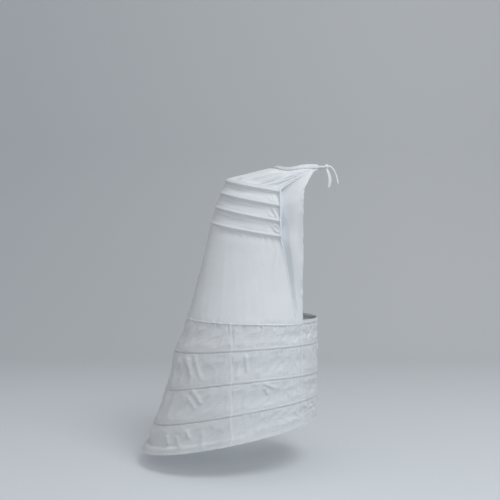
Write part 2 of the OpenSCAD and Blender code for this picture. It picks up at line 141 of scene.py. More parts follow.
def ripple(across: Array, along: Array, seed: int) -> Array:
    """Smooth uneven waves from -1 to 1, about one swell for each unit of its coordinates.

    Args:
        across: Coordinate across the waves.
        along: Coordinate along them.
        seed: Number that picks the pattern.

    Returns:
        The height of the waves at each place.
    """
    size = 128
    heights = np.random.default_rng(seed).uniform(-1.0, 1.0, (size, size))
    across, along = np.broadcast_arrays(across, along)
    i, j = np.floor(across).astype(int), np.floor(along).astype(int)
    s, t = ease(across - i), ease(along - j)
    low = mix(heights[i % size, j % size], heights[(i + 1) % size, j % size], s)
    high = mix(heights[i % size, (j + 1) % size], heights[(i + 1) % size, (j + 1) % size], s)
    return mix(low, high, t)


def crests(across: Array, along: Array, seed: int) -> Array:
    """Uneven folds from -1 to 1 with narrow crests and wide hollows, laid out like ripple."""
    return 1.0 - 2.0 * np.abs(ripple(across, along, seed)) ** 0.7


@dataclass(frozen=True)
class Wave:
    """Pattern of folds: its height, its two lengths and the seed that picks it."""

    height: float
    across: float
    along: float
    seed: int

    def swells(self, across: Array, along: Array, shift: int = 0) -> Array:
        """Heights of soft waves, with the seed moved on by a shift."""
        return self.height * ripple(across / self.across, along / self.along, self.seed + shift)

    def folds(self, across: Array, along: Array, shift: int = 0) -> Array:
        """Heights of crisp folds, with the seed moved on by a shift."""
        return self.height * crests(across / self.across, along / self.along, self.seed + shift)


def step_lengths(points: Array, axis: int) -> Array:
    """Distances between neighbouring points along one axis of a line or a grid."""
    return np.linalg.norm(np.diff(points[..., :3], axis=axis), axis=-1)


def running(steps: Array) -> Array:
    """Way covered before each point, from the lengths of the steps between the points."""
    return np.concatenate([[0.0], np.cumsum(steps)])


def row_lengths(rows: Array) -> Array:
    """Mean distance between each row of points and the next."""
    return step_lengths(rows, 0).mean(axis=1)


def row_way(grid: Array) -> Array:
    """Distance of each row down a grid."""
    return running(row_lengths(grid))


def column_way(grid: Array) -> Array:
    """Distance of each column along a grid's rows."""
    return running(step_lengths(grid, 1).mean(axis=0))


def edge_distance(grid: Array) -> Array:
    """Distance of each column from the nearer end of a grid's rows."""
    way = column_way(grid)
    return np.minimum(way, way[-1] - way)


def along_line(line: Array, way: Array, stations: Array) -> Array:
    """Values of a line's three coordinates at stations on its way."""
    return np.stack([np.interp(stations, way, line[:, axis]) for axis in range(3)], axis=-1)


def marked(rows: Sequence[Array], marks: Sequence[float]) -> Array:
    """Control rows whose points carry their row's mark after x, y and z."""
    control = np.stack(rows)
    values = np.broadcast_to(np.array(marks)[:, None, None], (*control.shape[:2], 1))
    return np.concatenate([control, values], axis=-1)


def span_counts(rows: Array, step: float, least: int = 2) -> list[int]:
    """Number of stretches between control rows that keeps them about a step long."""
    return [max(least, math.ceil(length / step)) for length in row_lengths(rows)]


def loft(rows: Array, counts: Sequence[int]) -> Array:
    """Smooth sheet through control rows that never swings past them.

    Args:
        rows: Control rows of points, which may carry further values after x, y and z.
        counts: Number of stretches to make between each control row and the next.

    Returns:
        The finer rows of the sheet.
    """
    spans = row_lengths(rows)[:, None, None]
    slopes = np.diff(rows, axis=0) / spans
    before, after = slopes[:-1], slopes[1:]
    weight_a = 2.0 * spans[1:] + spans[:-1]
    weight_b = spans[1:] + 2.0 * spans[:-1]
    same = before * after > 0.0
    safe_before, safe_after = np.where(same, before, 1.0), np.where(same, after, 1.0)
    tangents = np.empty_like(rows)
    tangents[0], tangents[-1] = slopes[0], slopes[-1]
    tangents[1:-1] = np.where(
        same, (weight_a + weight_b) / (weight_a / safe_before + weight_b / safe_after), 0.0)
    pieces = []
    for i, count in enumerate(counts):
        s = np.linspace(0.0, 1.0, count + 1)[: count + (i == len(counts) - 1), None, None]
        pieces.append(
            (2 * s**3 - 3 * s**2 + 1) * rows[i] + (s**3 - 2 * s**2 + s) * spans[i] * tangents[i]
            + (3 * s**2 - 2 * s**3) * rows[i + 1] + (s**3 - s**2) * spans[i] * tangents[i + 1])
    return np.concatenate(pieces)


def smooth_route(route: Sequence[Sequence[float]], count: int) -> Array:
    """Evenly spaced points on one smooth curve through a given route."""
    points = np.array(route, float)
    ends = np.concatenate([2 * points[:1] - points[1:2], points, 2 * points[-1:] - points[-2:-1]])
    fine = []
    for i in range(len(points) - 1):
        a, b, c, d = ends[i:i + 4]
        s = np.linspace(0.0, 1.0, 24, endpoint=False)[:, None]
        fine.append(0.5 * (2 * b + (c - a) * s + (2 * a - 5 * b + 4 * c - d) * s**2
                           + (3 * b - a - 3 * c + d) * s**3))
    line = np.concatenate([*fine, points[-1:]])
    way = running(step_lengths(line, 0))
    return along_line(line, way, np.linspace(0.0, way[-1], count))


def facing(grid: Array, loop: bool) -> Array:
    """Direction that a grid faces at each of its points, right-handed from its columns to its rows."""
    along = np.roll(grid, -1, 1) - np.roll(grid, 1, 1) if loop else np.gradient(grid, axis=1)
    return unit(np.cross(along, np.gradient(grid, axis=0)))


def raised(pattern: Array, heights: Array) -> Array:
    """Grid whose points are raised by their heights along the direction that they face."""
    return pattern + facing(pattern, False) * heights[..., None]


@dataclass(frozen=True)
class Waist:
    """Waist and hips that the petticoat hangs from."""

    half_depth: float = 85.0
    half_width: float = 115.0
    gap_turn: float = 42.0
    side_turn: float = 14.0
    hip_drop: float = 180.0
    hip_half_width: float = 165.0
    hip_half_depth: float = 115.0
    room: float = 3.0
    band_top: float = 5.5
    band_low: float = -8.5
    panel_top: float = -5.5
    panel_start: float = -10.5
    back_lean: float = 68.0
    dip: float = 11.0
    dip_turn: float = 120.0
    dip_width: float = 30.0

    def point(self, turn: Array, out: Array, z: Array) -> Array:
        """Point of the waist's layers, which lean back along the top of the bustle.

        Args:
            turn: Turn from the front.
            out: Distance outside the drawn tape.
            z: Height that the point would have on a band that stands upright.

        Returns:
            The point.
        """
        from_front = 180.0 - np.abs(np.mod(turn, 360.0) - 180.0)
        upright_end = self.gap_turn + self.side_turn
        lean = self.back_lean * np.clip((from_front - upright_end) / (180.0 - upright_end), 0.0, 1.0)
        below = self.band_top - z
        reach = out * cosd(lean) + below * sind(lean)
        low = self.dip * bell(from_front - self.dip_turn, self.dip_width)
        return place((self.half_depth + reach) * cosd(turn), (self.half_width + reach) * sind(turn),
                     self.band_top - below * cosd(lean) + out * sind(lean) - low)

    def swell(self, z: Array) -> Array:
        """Share of the way from the waist's size to the hips' at a height."""
        return sind(90.0 * np.clip(-z / self.hip_drop, 0.0, 1.0))

    def hip_width(self, z: Array) -> Array:
        """Half of the hips from side to side at a height."""
        return mix(self.half_width, self.hip_half_width, self.swell(z)) + self.room

    def hip_depth(self, z: Array) -> Array:
        """Half of the hips from front to back at a height."""
        return mix(self.half_depth, self.hip_half_depth, self.swell(z)) + self.room

    def hip_side(self, x: Array, z: Array) -> Array:
        """Distance of the hip's side from the middle at a place and height."""
        return self.hip_width(z) * np.sqrt(1.0 - np.square(x / self.hip_depth(z)))


@dataclass(frozen=True)
class BustleShape:
    """Half hoops of the bustle and the tucks round them.

    Turn -90 is the right end, 0 the back and 90 the left end.
    """

    waist: Waist = Waist()
    reach: Values = (274.0, 294.0, 313.0, 331.0)
    drop: Values = (46.0, 90.0, 142.0, 200.0)
    side_fall: Values = (48.0, 55.0, 58.0, 54.0)
    fall_bend: float = 0.72
    back_lean: float = 45.0
    end_lean: float = 20.0
    seam_x: float = 74.0
    pocket: float = 1.85
    seat: float = 3.15
    seat_low: float = -1.0
    tuck_top: float = 5.0
    tuck_low: float = 4.0
    tuck_seam: float = 2.0

    @property
    def tuck_fold(self) -> float:
        """Depth of a tuck's folded edge below its steel's middle."""
        return self.tuck_low + self.pocket

    def end_z(self, k: int) -> float:
        """Height of a half hoop's ends."""
        return -self.drop[k] - self.side_fall[k]

    def half_width(self, k: int) -> float:
        """Half of the distance between a half hoop's ends."""
        return float(self.waist.hip_width(np.array(self.end_z(k))))

    def bone(self, k: int, turn: Array) -> Array:
        """Middle of a half hoop's steel."""
        return place(-self.seam_x - (self.reach[k] - self.seam_x) * cosd(turn),
                     self.half_width(k) * sind(turn),
                     -self.drop[k] - self.side_fall[k] * (1.0 - cosd(turn)) ** self.fall_bend)

    def out(self, k: int, turn: Array) -> Array:
        """Level direction that faces out of a half hoop."""
        return unit(place(-self.half_width(k) * cosd(turn), (self.reach[k] - self.seam_x) * sind(turn), 0.0))

    def tuck(self, k: int, turn: Array, out: Array, up: Array) -> Array:
        """Point beside a half hoop's leaning steel.

        Args:
            k: Number of the half hoop.
            turn: Turn along it.
            out: Distance from the steel's face.
            up: Distance above the steel's middle, along its width.

        Returns:
            The point.
        """
        lean = mix(self.end_lean, self.back_lean, cosd(turn))
        level = np.asarray(out * cosd(lean) - up * sind(lean))
        return (self.bone(k, turn) + level[..., None] * self.out(k, turn)
                + place(0.0, 0.0, out * sind(lean) + up * cosd(lean)))

    def tuck_rows(self, k: int, turns: Array) -> list[Array]:
        """Control rows of a panel's lower edge, folded round its steel and sewn up behind it."""
        slant = self.pocket * math.sqrt(0.5)
        path = [(self.pocket, self.tuck_top), (self.pocket, -self.tuck_low), (slant, -self.tuck_low - slant),
                (0.0, -self.tuck_fold), (-slant, -self.tuck_low - slant), (-self.pocket, -self.tuck_low),
                (-self.pocket, self.tuck_seam)]
        return [self.tuck(k, turns, out, z) for out, z in path]

    def seat_rows(self, k: int, turns: Array) -> list[Array]:
        """Control rows of a panel's upper edge, sewn behind a tuck."""
        return [self.tuck(k, turns, -self.seat, up) for up in (self.tuck_seam, self.seat_low)]


@dataclass(frozen=True)
class SkirtShape:
    """Five full hoops and the wall of cloth over them.

    Turn 0 is the front, 90 the left side and 180 the back.
    """

    front_x: float = 66.0
    back_x: Values = (-417.0, -464.0, -498.0, -542.0, -584.0)
    back_z: Values = (-558.0, -681.0, -822.0, -947.0, -1047.0)
    front_z: Values = (-570.0, -647.0, -758.0, -840.0, -915.0)
    lift: Values = (0.0, 11.0, 26.0, 20.0, 10.0)
    half_w: Values = (200.0, 215.0, 230.0, 245.0, 260.0)
    wall_out: float = 0.8
    ridge_out: float = 3.2
    lap_out: float = 4.5
    ridge_half: float = 3.7
    ridge_foot: float = 7.0
    lap_top: float = 10.0
    lap_low: float = 4.2
    hollow: float = 3.0
    hem_hollow: float = 16.0
    hem_hollow_h: float = 22.0
    front_seam_x: float = 0.0
    back_seam_x: float = -250.0
    foot_x: float = -25.0
    seam_gap: float = 0.6

    @property
    def last(self) -> int:
        """Number of the hoop in the hem."""
        return len(self.back_x) - 1

    @staticmethod
    def at(values: Sequence[float], level: float) -> float:
        """Value at a level between two hoops, carried on straight past both ends."""
        i = min(max(math.floor(level), 0), len(values) - 2)
        return mix(values[i], values[i + 1], level - i)

    def middle(self, level: float) -> float:
        """Place of a level's centre, from front to back."""
        return (self.at(self.back_x, level) + self.front_x) / 2

    def half(self, level: float) -> float:
        """Half of a level from front to back."""
        return (self.front_x - self.at(self.back_x, level)) / 2

    def turn_at(self, level: float, x: float) -> float:
        """Turn at which a level's left side reaches a place from front to back."""
        return math.degrees(math.acos((x - self.middle(level)) / self.half(level)))

    def point(self, level: float, turn: Array, out: Array) -> Array:
        """Point at a level and turn, a distance outside the hoops' line."""
        back = (1.0 - cosd(turn)) / 2
        z = mix(self.at(self.front_z, level), self.at(self.back_z, level), back)
        return place(self.middle(level) + (self.half(level) + out) * cosd(turn),
                     (self.at(self.half_w, level) + out) * sind(turn),
                     z + self.at(self.lift, level) * np.square(sind(turn)))

    def step(self, k: int, turn: Array) -> Array:
        """Way down the wall past a hoop for each millimetre of drop."""
        way = self.point(min(k + 1, self.last), turn, 0.0) - self.point(max(k - 1, 0), turn, 0.0)
        return way / -way[..., 2:]

    def wall(self, k: float, drop: float, turn: Array, out: Array) -> Array:
        """Point of the wall a drop below a hoop, or at a level between two hoops where the drop is 0."""
        base = self.point(k, turn, out)
        return base + drop * self.step(int(k), turn) if drop else base

    def lap(self, turn: Array, drop: float) -> Array:
        """Point of the cloth that laps over the top hoop."""
        return self.wall(0, drop, turn, self.lap_out)


@dataclass
class Cloth:
    """A finished sheet: its object, the grid of its middle surface and the direction it faces."""

    obj: bpy.types.Object
    grid: Array
    faces: Array
    thick: float

    def outside(self, lift: float) -> Array:
        """Points of its outer face, raised by a lift."""
        return self.grid + self.faces * (self.thick / 2 + lift)

    def line(self, lift: float, at: int | tuple[slice, int]) -> Line:
        """Points of a row or column raised over the outer face, and the direction the cloth faces there."""
        return self.outside(lift)[at], self.faces[at]


def write_mesh(name: str, points: Array, quads: Array, flat_uv: Array | None = None) -> bpy.types.Object:
    """Mesh object from points in millimetres.

    Args:
        name: Name of the piece.
        points: Its points.
        quads: Point numbers of each face, four for a sheet and three for a stitch.
        flat_uv: Place of each point in the flat cloth, in metres.

    Returns:
        The new object, linked to the scene.
    """
    mesh = bpy.data.meshes.new(name)
    mesh.vertices.add(len(points))
    mesh.vertices.foreach_set("co", (points * MM).astype(np.float32).ravel())
    mesh.loops.add(quads.size)
    mesh.loops.foreach_set("vertex_index", quads.astype(np.int32).ravel())
    mesh.polygons.add(len(quads))
    mesh.polygons.foreach_set("loop_start", np.arange(0, quads.size, quads.shape[1], dtype=np.int32))
    mesh.update(calc_edges=True)
    mesh.polygons.foreach_set("use_smooth", np.ones(len(quads), bool))
    if flat_uv is not None:
        layer = mesh.uv_layers.new(name="cloth")
        layer.data.foreach_set("uv", flat_uv[quads.ravel()].astype(np.float32).ravel())
    mesh.set_sharp_from_angle(angle=SHARP_EDGE)
    obj = bpy.data.objects.new(name, mesh)
    bpy.context.scene.collection.objects.link(obj)
    return obj


def flat_places(grid: Array) -> Array:
    """Place of each grid point in the cloth laid flat, in metres."""
    return np.stack(np.meshgrid(column_way(grid) * MM, row_way(grid) * MM), axis=-1).reshape(-1, 2)


def sheet(name: str, grid: Array, thick: float, centre: Pair = (0.0, 0.0),
          loop: bool = False) -> Cloth:
    """Closed thin sheet of cloth, tape or steel over a grid of points.

    Args:
        name: Name of the piece.
        grid: Rows of points down the sheet.
        thick: Thickness, which is laid evenly to both sides.
        centre: Place in plan that the sheet's outer face looks away from.
        loop: Whether the last column joins the first.

    Returns:
        The finished sheet.
    """
    faces = facing(grid, loop)
    if float((faces[..., :2] * (grid[..., :2] - np.array(centre))).sum()) < 0.0:
        grid = grid[:, ::-1]
        faces = facing(grid, loop)
    rows, cols = grid.shape[:2]
    number = np.arange(rows * cols).reshape(rows, cols)
    columns = np.concatenate([number, number[:, :1]], axis=1) if loop else number
    a, b, c, d = columns[:-1, :-1], columns[:-1, 1:], columns[1:, 1:], columns[1:, :-1]
    outer = np.stack([a, b, c, d], axis=-1).reshape(-1, 4)
    back = rows * cols
    top, low, first, last = columns[0], columns[-1], number[:, 0], number[:, -1]
    rims = [np.stack([top[:-1], top[:-1] + back, top[1:] + back, top[1:]], axis=-1),
            np.stack([low[:-1], low[1:], low[1:] + back, low[:-1] + back], axis=-1)]
    if not loop:
        rims += [np.stack([first[:-1], first[1:], first[1:] + back, first[:-1] + back], axis=-1),
                 np.stack([last[:-1], last[:-1] + back, last[1:] + back, last[1:]], axis=-1)]
    quads = np.concatenate([outer, outer[:, ::-1] + back, *rims])
    points = np.concatenate([grid + faces * thick / 2, grid - faces * thick / 2]).reshape(-1, 3)
    uv = flat_places(grid)
    return Cloth(write_mesh(name, points, quads, np.concatenate([uv, uv])), grid, faces, thick)


@dataclass(frozen=True)
class Shading:
    """Nodes of a material or of the room, with short ways to add, set and join them."""

    tree: bpy.types.NodeTree

    @staticmethod
    def fill(node: bpy.types.Node, values: Sockets) -> bpy.types.Node:
        """Sets values on a node's own sockets and returns the node."""
        for socket, value in values.items():
            node.inputs[socket].default_value = value
        return node

    def add(self, kind: str, values: Sockets | None = None, **options: str) -> bpy.types.Node:
        """New node of a kind, with its options and with values on its sockets."""
        node = self.tree.nodes.new(f"ShaderNode{kind}")
        for name, option in options.items():
            setattr(node, name, option)
        return self.fill(node, values or {})

    def ramp(self, *stops: tuple[float, Values]) -> bpy.types.Node:
        """New ramp between two tones, each given after its place on the ramp."""
        node = self.add("ValToRGB")
        for element, (position, tone) in zip(node.color_ramp.elements, stops):
            element.position = position
            element.color = (*tone, 1.0)
        return node

    def join(self, start: bpy.types.Node, output: str, *ends: tuple[bpy.types.Node, str | int]) -> None:
        """Links a node's output to one or more inputs."""
        for node, socket in ends:
            self.tree.links.new(start.outputs[output], node.inputs[socket])


def new_material(name: str) -> tuple[bpy.types.Material, Shading, bpy.types.Node]:
    """New material with its nodes and its main shader."""
    made = bpy.data.materials.new(name)
    made.use_nodes = True
    return made, Shading(made.node_tree), made.node_tree.nodes["Principled BSDF"]


@dataclass(frozen=True)
class ClothFinish:
    """Woven cloth: its tones, its thread and how it takes the light."""

    name: str
    slot: str
    tone: Tone
    shade: Tone
    roughness: float
    sheen: float
    glow: float
    thread: float
    relief: float
    slub: float

    def material(self) -> bpy.types.Material:
        """The cloth's material, made once.

        Returns:
            A material with uneven tone, a woven surface and a soft sheen.
        """
        name = f"{self.name}_cloth"
        if name in bpy.data.materials:
            return bpy.data.materials[name]
        made, shading, shader = new_material(name)
        shading.fill(shader, {
            "Roughness": self.roughness, "Specular IOR Level": 0.25,
            "Sheen Weight": self.sheen, "Sheen Roughness": 0.4,
            "Subsurface Weight": self.glow, "Subsurface Radius": (1.0, 1.0, 1.0), "Subsurface Scale": 0.004})
        where = shading.add("TexCoord")
        cloud = shading.add("TexNoise", {"Scale": 14.0, "Detail": 4.0})
        tones = shading.ramp((0.35, self.shade), (0.65, self.tone))
        shading.join(where, "Object", (cloud, "Vector"))
        shading.join(cloud, "Fac", (tones, "Fac"))
        shading.join(tones, "Color", (shader, "Base Color"))
        crossing = shading.add("Math", operation="MAXIMUM")
        threads = {"Scale": 2.0 * math.pi / (20.0 * self.thread * MM), "Distortion": 0.6}
        for slot, direction in enumerate(("X", "Y")):
            wave = shading.add("TexWave", threads, bands_direction=direction)
            shading.join(where, "UV", (wave, "Vector"))
            shading.join(wave, "Fac", (crossing, slot))
        weave = shading.add("Bump", {"Strength": 0.35, "Distance": self.relief * MM})
        shading.join(crossing, "Value", (weave, "Height"))
        spun = shading.add("Mapping", {"Scale": (22.0, 170.0, 1.0)})
        shading.join(where, "UV", (spun, "Vector"))
        slubs = shading.add("TexNoise", {"Scale": 1.0, "Detail": 3.0})
        shading.join(spun, "Vector", (slubs, "Vector"))
        yarn = shading.add("Bump", {"Strength": 0.6, "Distance": self.slub * MM})
        shading.join(slubs, "Fac", (yarn, "Height"))
        shading.join(weave, "Normal", (yarn, "Normal"))
        shading.join(yarn, "Normal", (shader, "Normal"))
        return made


@dataclass(frozen=True)
class SteelFinish:
    """Flat spring steel or crimped sheet: its tone, its metal and its fine drawn lines."""

    slot: str
    tone: Tone
    metal: float
    roughness: float
    worn_share: float = 0.82

    def material(self) -> bpy.types.Material:
        """The metal's material, made once.

        Returns:
            A material with rolled lines and worn, uneven gloss.
        """
        name = f"{self.slot}_metal"
        if name in bpy.data.materials:
            return bpy.data.materials[name]
        made, shading, shader = new_material(name)
        shading.fill(shader, {"Metallic": self.metal})
        where = shading.add("TexCoord")
        wear = shading.add("TexNoise", {"Scale": 60.0, "Detail": 6.0})
        worn = tuple(self.worn_share * value for value in self.tone)
        tones = shading.ramp((0.3, worn), (0.6, self.tone))
        gloss = shading.add("MapRange", {"To Min": self.roughness - 0.08, "To Max": self.roughness + 0.12})
        lines = shading.add("Bump", {"Strength": 0.15, "Distance": 0.00005})
        shading.join(where, "Object", (wear, "Vector"))
        shading.join(wear, "Fac", (tones, "Fac"), (gloss, "Value"), (lines, "Height"))
        shading.join(tones, "Color", (shader, "Base Color"))
        shading.join(gloss, "Result", (shader, "Roughness"))
        shading.join(lines, "Normal", (shader, "Normal"))
        return made


COTTON = ClothFinish(
    "cotton", "cotton", tone=(0.77, 0.80, 0.84), shade=(0.745, 0.775, 0.815),
    roughness=0.80, sheen=0.12, glow=0.22, thread=0.55, relief=0.08, slub=0.5)
LAWN = ClothFinish(
    "lawn", "lawn", tone=(0.76, 0.80, 0.85), shade=(0.73, 0.77, 0.825),
    roughness=0.42, sheen=0.20, glow=0.52, thread=0.40, relief=0.05, slub=1.6)
# Copy of the lawn with a slightly brighter tone. The tone is painted light that lifts the shaded side of the
# back and front panels; its stronger glow lets more light through the cloth.
PAINTED_LIGHT_LAWN = ClothFinish(
    "back_lawn", "lawn", tone=(0.77, 0.805, 0.855), shade=(0.74, 0.775, 0.83),
    roughness=0.42, sheen=0.20, glow=0.72, thread=0.40, relief=0.05, slub=1.6)
FELL = ClothFinish(
    "fell", "lawn", tone=(0.83, 0.86, 0.90), shade=(0.81, 0.84, 0.88),
    roughness=0.60, sheen=0.12, glow=0.10, thread=0.40, relief=0.05, slub=0.5)
TAPE = ClothFinish(
    "tape", "tape", tone=(0.79, 0.81, 0.82), shade=(0.75, 0.77, 0.785),
    roughness=0.80, sheen=0.10, glow=0.40, thread=0.70, relief=0.12, slub=0.1)
STEEL = SteelFinish("steel", tone=(0.82, 0.82, 0.80), metal=0.0, roughness=0.38)
CRIMP = SteelFinish("crimp", tone=(0.62, 0.63, 0.65), metal=1.0, roughness=0.36)


def dress(obj: bpy.types.Object, finish: ClothFinish | SteelFinish, *nodes: str) -> None:
    """Gives a piece its finish and its place on the part.

    Args:
        obj: The piece.
        finish: Its finish.
        nodes: Names of the solids that it stands for.
    """
    obj.data.materials.clear()
    obj.data.materials.append(finish.material())
    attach(obj, BODY)
    if nodes:
        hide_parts(*nodes)
    LOG.info("%s: %d faces", obj.name, len(obj.data.polygons))


@dataclass(frozen=True)
class Stitching:
    """Lockstitch in white thread."""

    length: float = 2.7
    pitch: float = 3.6
    half: float = 0.3

    def run(self, line: Array, faces: Array) -> tuple[Array, Array]:
        """Stitches along a line on a cloth's face.

        Args:
            line: Points of the line.
            faces: Direction that the cloth faces at each of them.

        Returns:
            Points of the stitches, six each, and the three point numbers of each of their faces.
        """
        way = running(step_lengths(line, 0))
        middles = np.arange(self.pitch, way[-1] - self.pitch, self.pitch)
        at = along_line(line, way, middles)
        up = unit(along_line(faces, way, middles))
        along = unit(along_line(line, way, middles + 1.0) - at)
        side = unit(np.cross(along, up))
        corners = np.stack([
            at - along * self.length / 2, at + along * self.length / 2, at - side * self.half,
            at + side * self.half, at + up * self.half, at - up * self.half], axis=1)
        face = np.array([[0, 2, 4], [0, 4, 3], [0, 3, 5], [0, 5, 2],
                         [1, 4, 2], [1, 3, 4], [1, 5, 3], [1, 2, 5]])
        first = 6 * np.arange(len(middles))[:, None, None]
        return corners.reshape(-1, 3), (face[None] + first).reshape(-1, 3)

    def sew(self, name: str, runs: Sequence[Line]) -> bpy.types.Object:
        """One piece of thread from several lines, each with the direction its cloth faces."""
        points, faces, first = [], [], 0
        for line, out in runs:
            corners, triangles = self.run(line, out)
            points.append(corners)
            faces.append(triangles + first)
            first += len(corners)
        return write_mesh(name, np.concatenate(points), np.concatenate(faces))


@dataclass
class WaistSet:
    """Waistband, the tape drawn through it, the tape's knot and its two free tails."""

    waist: Waist
    cloth: float = 0.8
    tape: float = 0.7
    wall: float = 1.7
    tape_top: float = 3.0
    tape_w: float = 7.0
    knot: Point = (104.0, 0.0, 6.0)
    knot_l: float = 14.0
    knot_r: float = 7.2
    knot_tape_half: float = 3.0
    knot_crease: float = 0.35
    tail_w: float = 12.0
    tail_share: float = 0.72
    tail_swell: float = 0.42
    tail_cup: float = 0.9
    tail_slant: float = 3.0
    tape_sag: float = 6.0
    tape_cup: float = 1.2
    turn_half: float = 3.0
    turn_slant: float = 1.8
    turn_h: float = 1.5
    band_step: float = 1.9
    band_pucker: Wave = Wave(0.55, 3.1, 1.0, 5)
    band_sway: Wave = Wave(0.7, 8.0, 1.0, 6)
    right_route: tuple[Point, ...] = (
        (105, -2, -1), (107, -4, -9), (111, -6, -20), (115, -7, -34),
        (116, -8, -50), (114, -8, -62), (112, -8, -74))
    left_route: tuple[Point, ...] = (
        (111, 2, 8), (118, 3, 7), (126, 4, 1), (134, 5, -10), (140, 5, -24), (145, 6, -40), (149, 6, -58))
    right_across: tuple[Point, ...] = ((0.8, 0.6, 0.0), (0.95, 0.3, 0.1))
    left_across: tuple[Point, ...] = ((0.07, 0.85, 0.5), (0.5, 0.85, 0.12))

    def band(self) -> None:
        """Folded casing round the back and sides of the waist, puckered by its drawn tape."""
        turns = np.linspace(self.waist.gap_turn, 360.0 - self.waist.gap_turn, 360)
        top, low, wall = self.waist.band_top, self.waist.band_low, self.wall
        path = [(wall, low), (wall + 0.5, low + 4.0), (wall + 0.3, -2.0), (wall, top - 2.0),
                (0.9, top - 0.6), (0.0, top), (-0.9, top - 0.6),
                (-wall, top - 2.0), (-wall, -2.0), (-wall, low)]
        rows = []
        for i, (out, z) in enumerate(path):
            pucker = (self.band_pucker.height + self.band_pucker.swells(turns, 0.3 * i)) * (out > 0.95)
            rows.append(self.waist.point(turns, out + pucker, z + self.band_sway.swells(turns, 0.0)))
        control = np.stack(rows)
        grid = loft(control, span_counts(control, self.band_step))
        band = sheet("waistband_cloth", grid, self.cloth)
        dress(band.obj, COTTON, "waistband")

    def drawn_tape(self) -> None:
        """Tape through the waistband, with both ends drawn forward to the knot."""
        turns = np.linspace(self.waist.gap_turn, 360.0 - self.waist.gap_turn, 240)
        share = np.linspace(0.0, 1.0, 18)[:-1]
        end_y = self.knot_l / 2 + 0.3
        rows = []
        for s in np.linspace(1.0, -1.0, 5):
            z = self.tape_top - self.tape_w / 2 * (1.0 - s)
            start = np.array([self.knot[0], end_y, self.knot[2] + s * self.knot_tape_half])
            first = self.waist.point(turns[:1], 0.0, z)
            free = mix(start, first, share[:, None])
            free[:, 2] -= self.tape_sag * share * (1.0 - share)
            free[:, 0] += self.tape_cup * (1.0 - s * s) * np.sin(math.pi * share)
            other = free[::-1] * np.array([1.0, -1.0, 1.0])
            rows.append(np.concatenate([free, self.waist.point(turns, 0.0, z), other]))
        tape = sheet("waist_tape_woven", np.stack(rows), self.tape)
        dress(tape.obj, TAPE, "waist_tape")

    def tied_knot(self) -> bpy.types.Object:
        """Knot of the waist tape: a plump twist with one slanting turn of tape over it.

        Returns:
            The knot.
        """
        ball = bmesh.new()
        bmesh.ops.create_uvsphere(ball, u_segments=72, v_segments=48, radius=1.0)
        points = np.array([list(corner.co) for corner in ball.verts])
        round_turn = np.arctan2(points[:, 1], points[:, 0])
        y = points[:, 2] * self.knot_l / 2
        plump = np.sqrt(np.maximum(1.0 - np.abs(points[:, 2]) ** 3.0, 0.0)) * (self.knot_r - 1.3)
        wrapped = np.exp(-((y - self.turn_slant * np.cos(round_turn)) / self.turn_half) ** 6)
        crease = self.knot_crease * np.cos(round_turn * 5.0 + y * 0.5) * (1.0 - wrapped)
        radius = np.where(plump > 0.01, plump + (self.turn_h * wrapped + crease) * ease(plump / 2.0), 0.0)
        moved = place(self.knot[0] + radius * np.cos(round_turn), y,
                      self.knot[2] + radius * np.sin(round_turn))
        for corner, at in zip(ball.verts, moved):
            corner.co = Vector(at * MM)
        bmesh.ops.recalc_face_normals(ball, faces=ball.faces)
        mesh = bpy.data.meshes.new("tie_knot_tape")
        ball.to_mesh(mesh)
        ball.free()
        mesh.polygons.foreach_set("use_smooth", np.ones(len(mesh.polygons), bool))
        obj = bpy.data.objects.new("tie_knot_tape", mesh)
        bpy.context.scene.collection.objects.link(obj)
        dress(obj, TAPE, "tie_knot")
        return obj

    def tail(self, side: Side, knot: bpy.types.Object) -> None:
        """Free tail of the waist tape, which hangs from the knot.

        Args:
            side: Which tail.
            knot: The knot that it hangs from; not used.
        """
        right = side is Side.RIGHT
        line = smooth_route(self.right_route if right else self.left_route, 31)
        ends = np.array(self.right_across if right else self.left_across)
        share = np.linspace(0.0, 1.0, len(line))[:, None]
        across = unit(mix(ends[0], ends[1], share))
        level = np.cross(across, np.gradient(line, axis=0))
        swell = self.tail_share + self.tail_swell * np.sin(math.pi * np.clip(share * 0.9, 0.0, 1.0)) ** 1.5
        places = np.linspace(-0.5, 0.5, 9)
        cup = (1.0 - (2.0 * places) ** 2) * self.tail_cup
        grid = (line[:, None] + places[None, :, None] * (self.tail_w * swell * across)[:, None]
                + cup[None, :, None] * unit(level)[:, None])
        grid[-1] += places[:, None] * self.tail_slant * unit(np.gradient(line, axis=0))[-1]
        name = f"tie_tail_{side.word}"
        tail = sheet(f"{name}_tape", grid, self.tape, (self.knot[0] - 40.0, 0.0))
        dress(tail.obj, TAPE, name)

    def build(self) -> None:
        """Makes the whole set."""
        knot = self.tied_knot()
        for side in Side:
            self.tail(side, knot)
        self.band()
        self.drawn_tape()


@dataclass(frozen=True)
class Crease:
    """A fold laid over a side of the cloth, between two points given from front to back and in height."""

    start: Pair
    end: Pair
    width: float
    height: float
    side: Side = Side.RIGHT
    taper: float = 0.25

    def heights(self, grid: Array) -> Array:
        """Height of the fold at each point of a grid."""
        start, way = np.array(self.start), np.array(self.end) - np.array(self.start)
        length = float(np.linalg.norm(way))
        flat = grid[..., [0, 2]] - start
        along = (flat @ way) / length**2
        across = (flat[..., 0] * way[1] - flat[..., 1] * way[0]) / length
        taper = ease(along / self.taper) * ease((1.0 - along) / self.taper)
        return self.height * bell(across, self.width) * taper * (grid[..., 1] * self.side.value > 0.0)


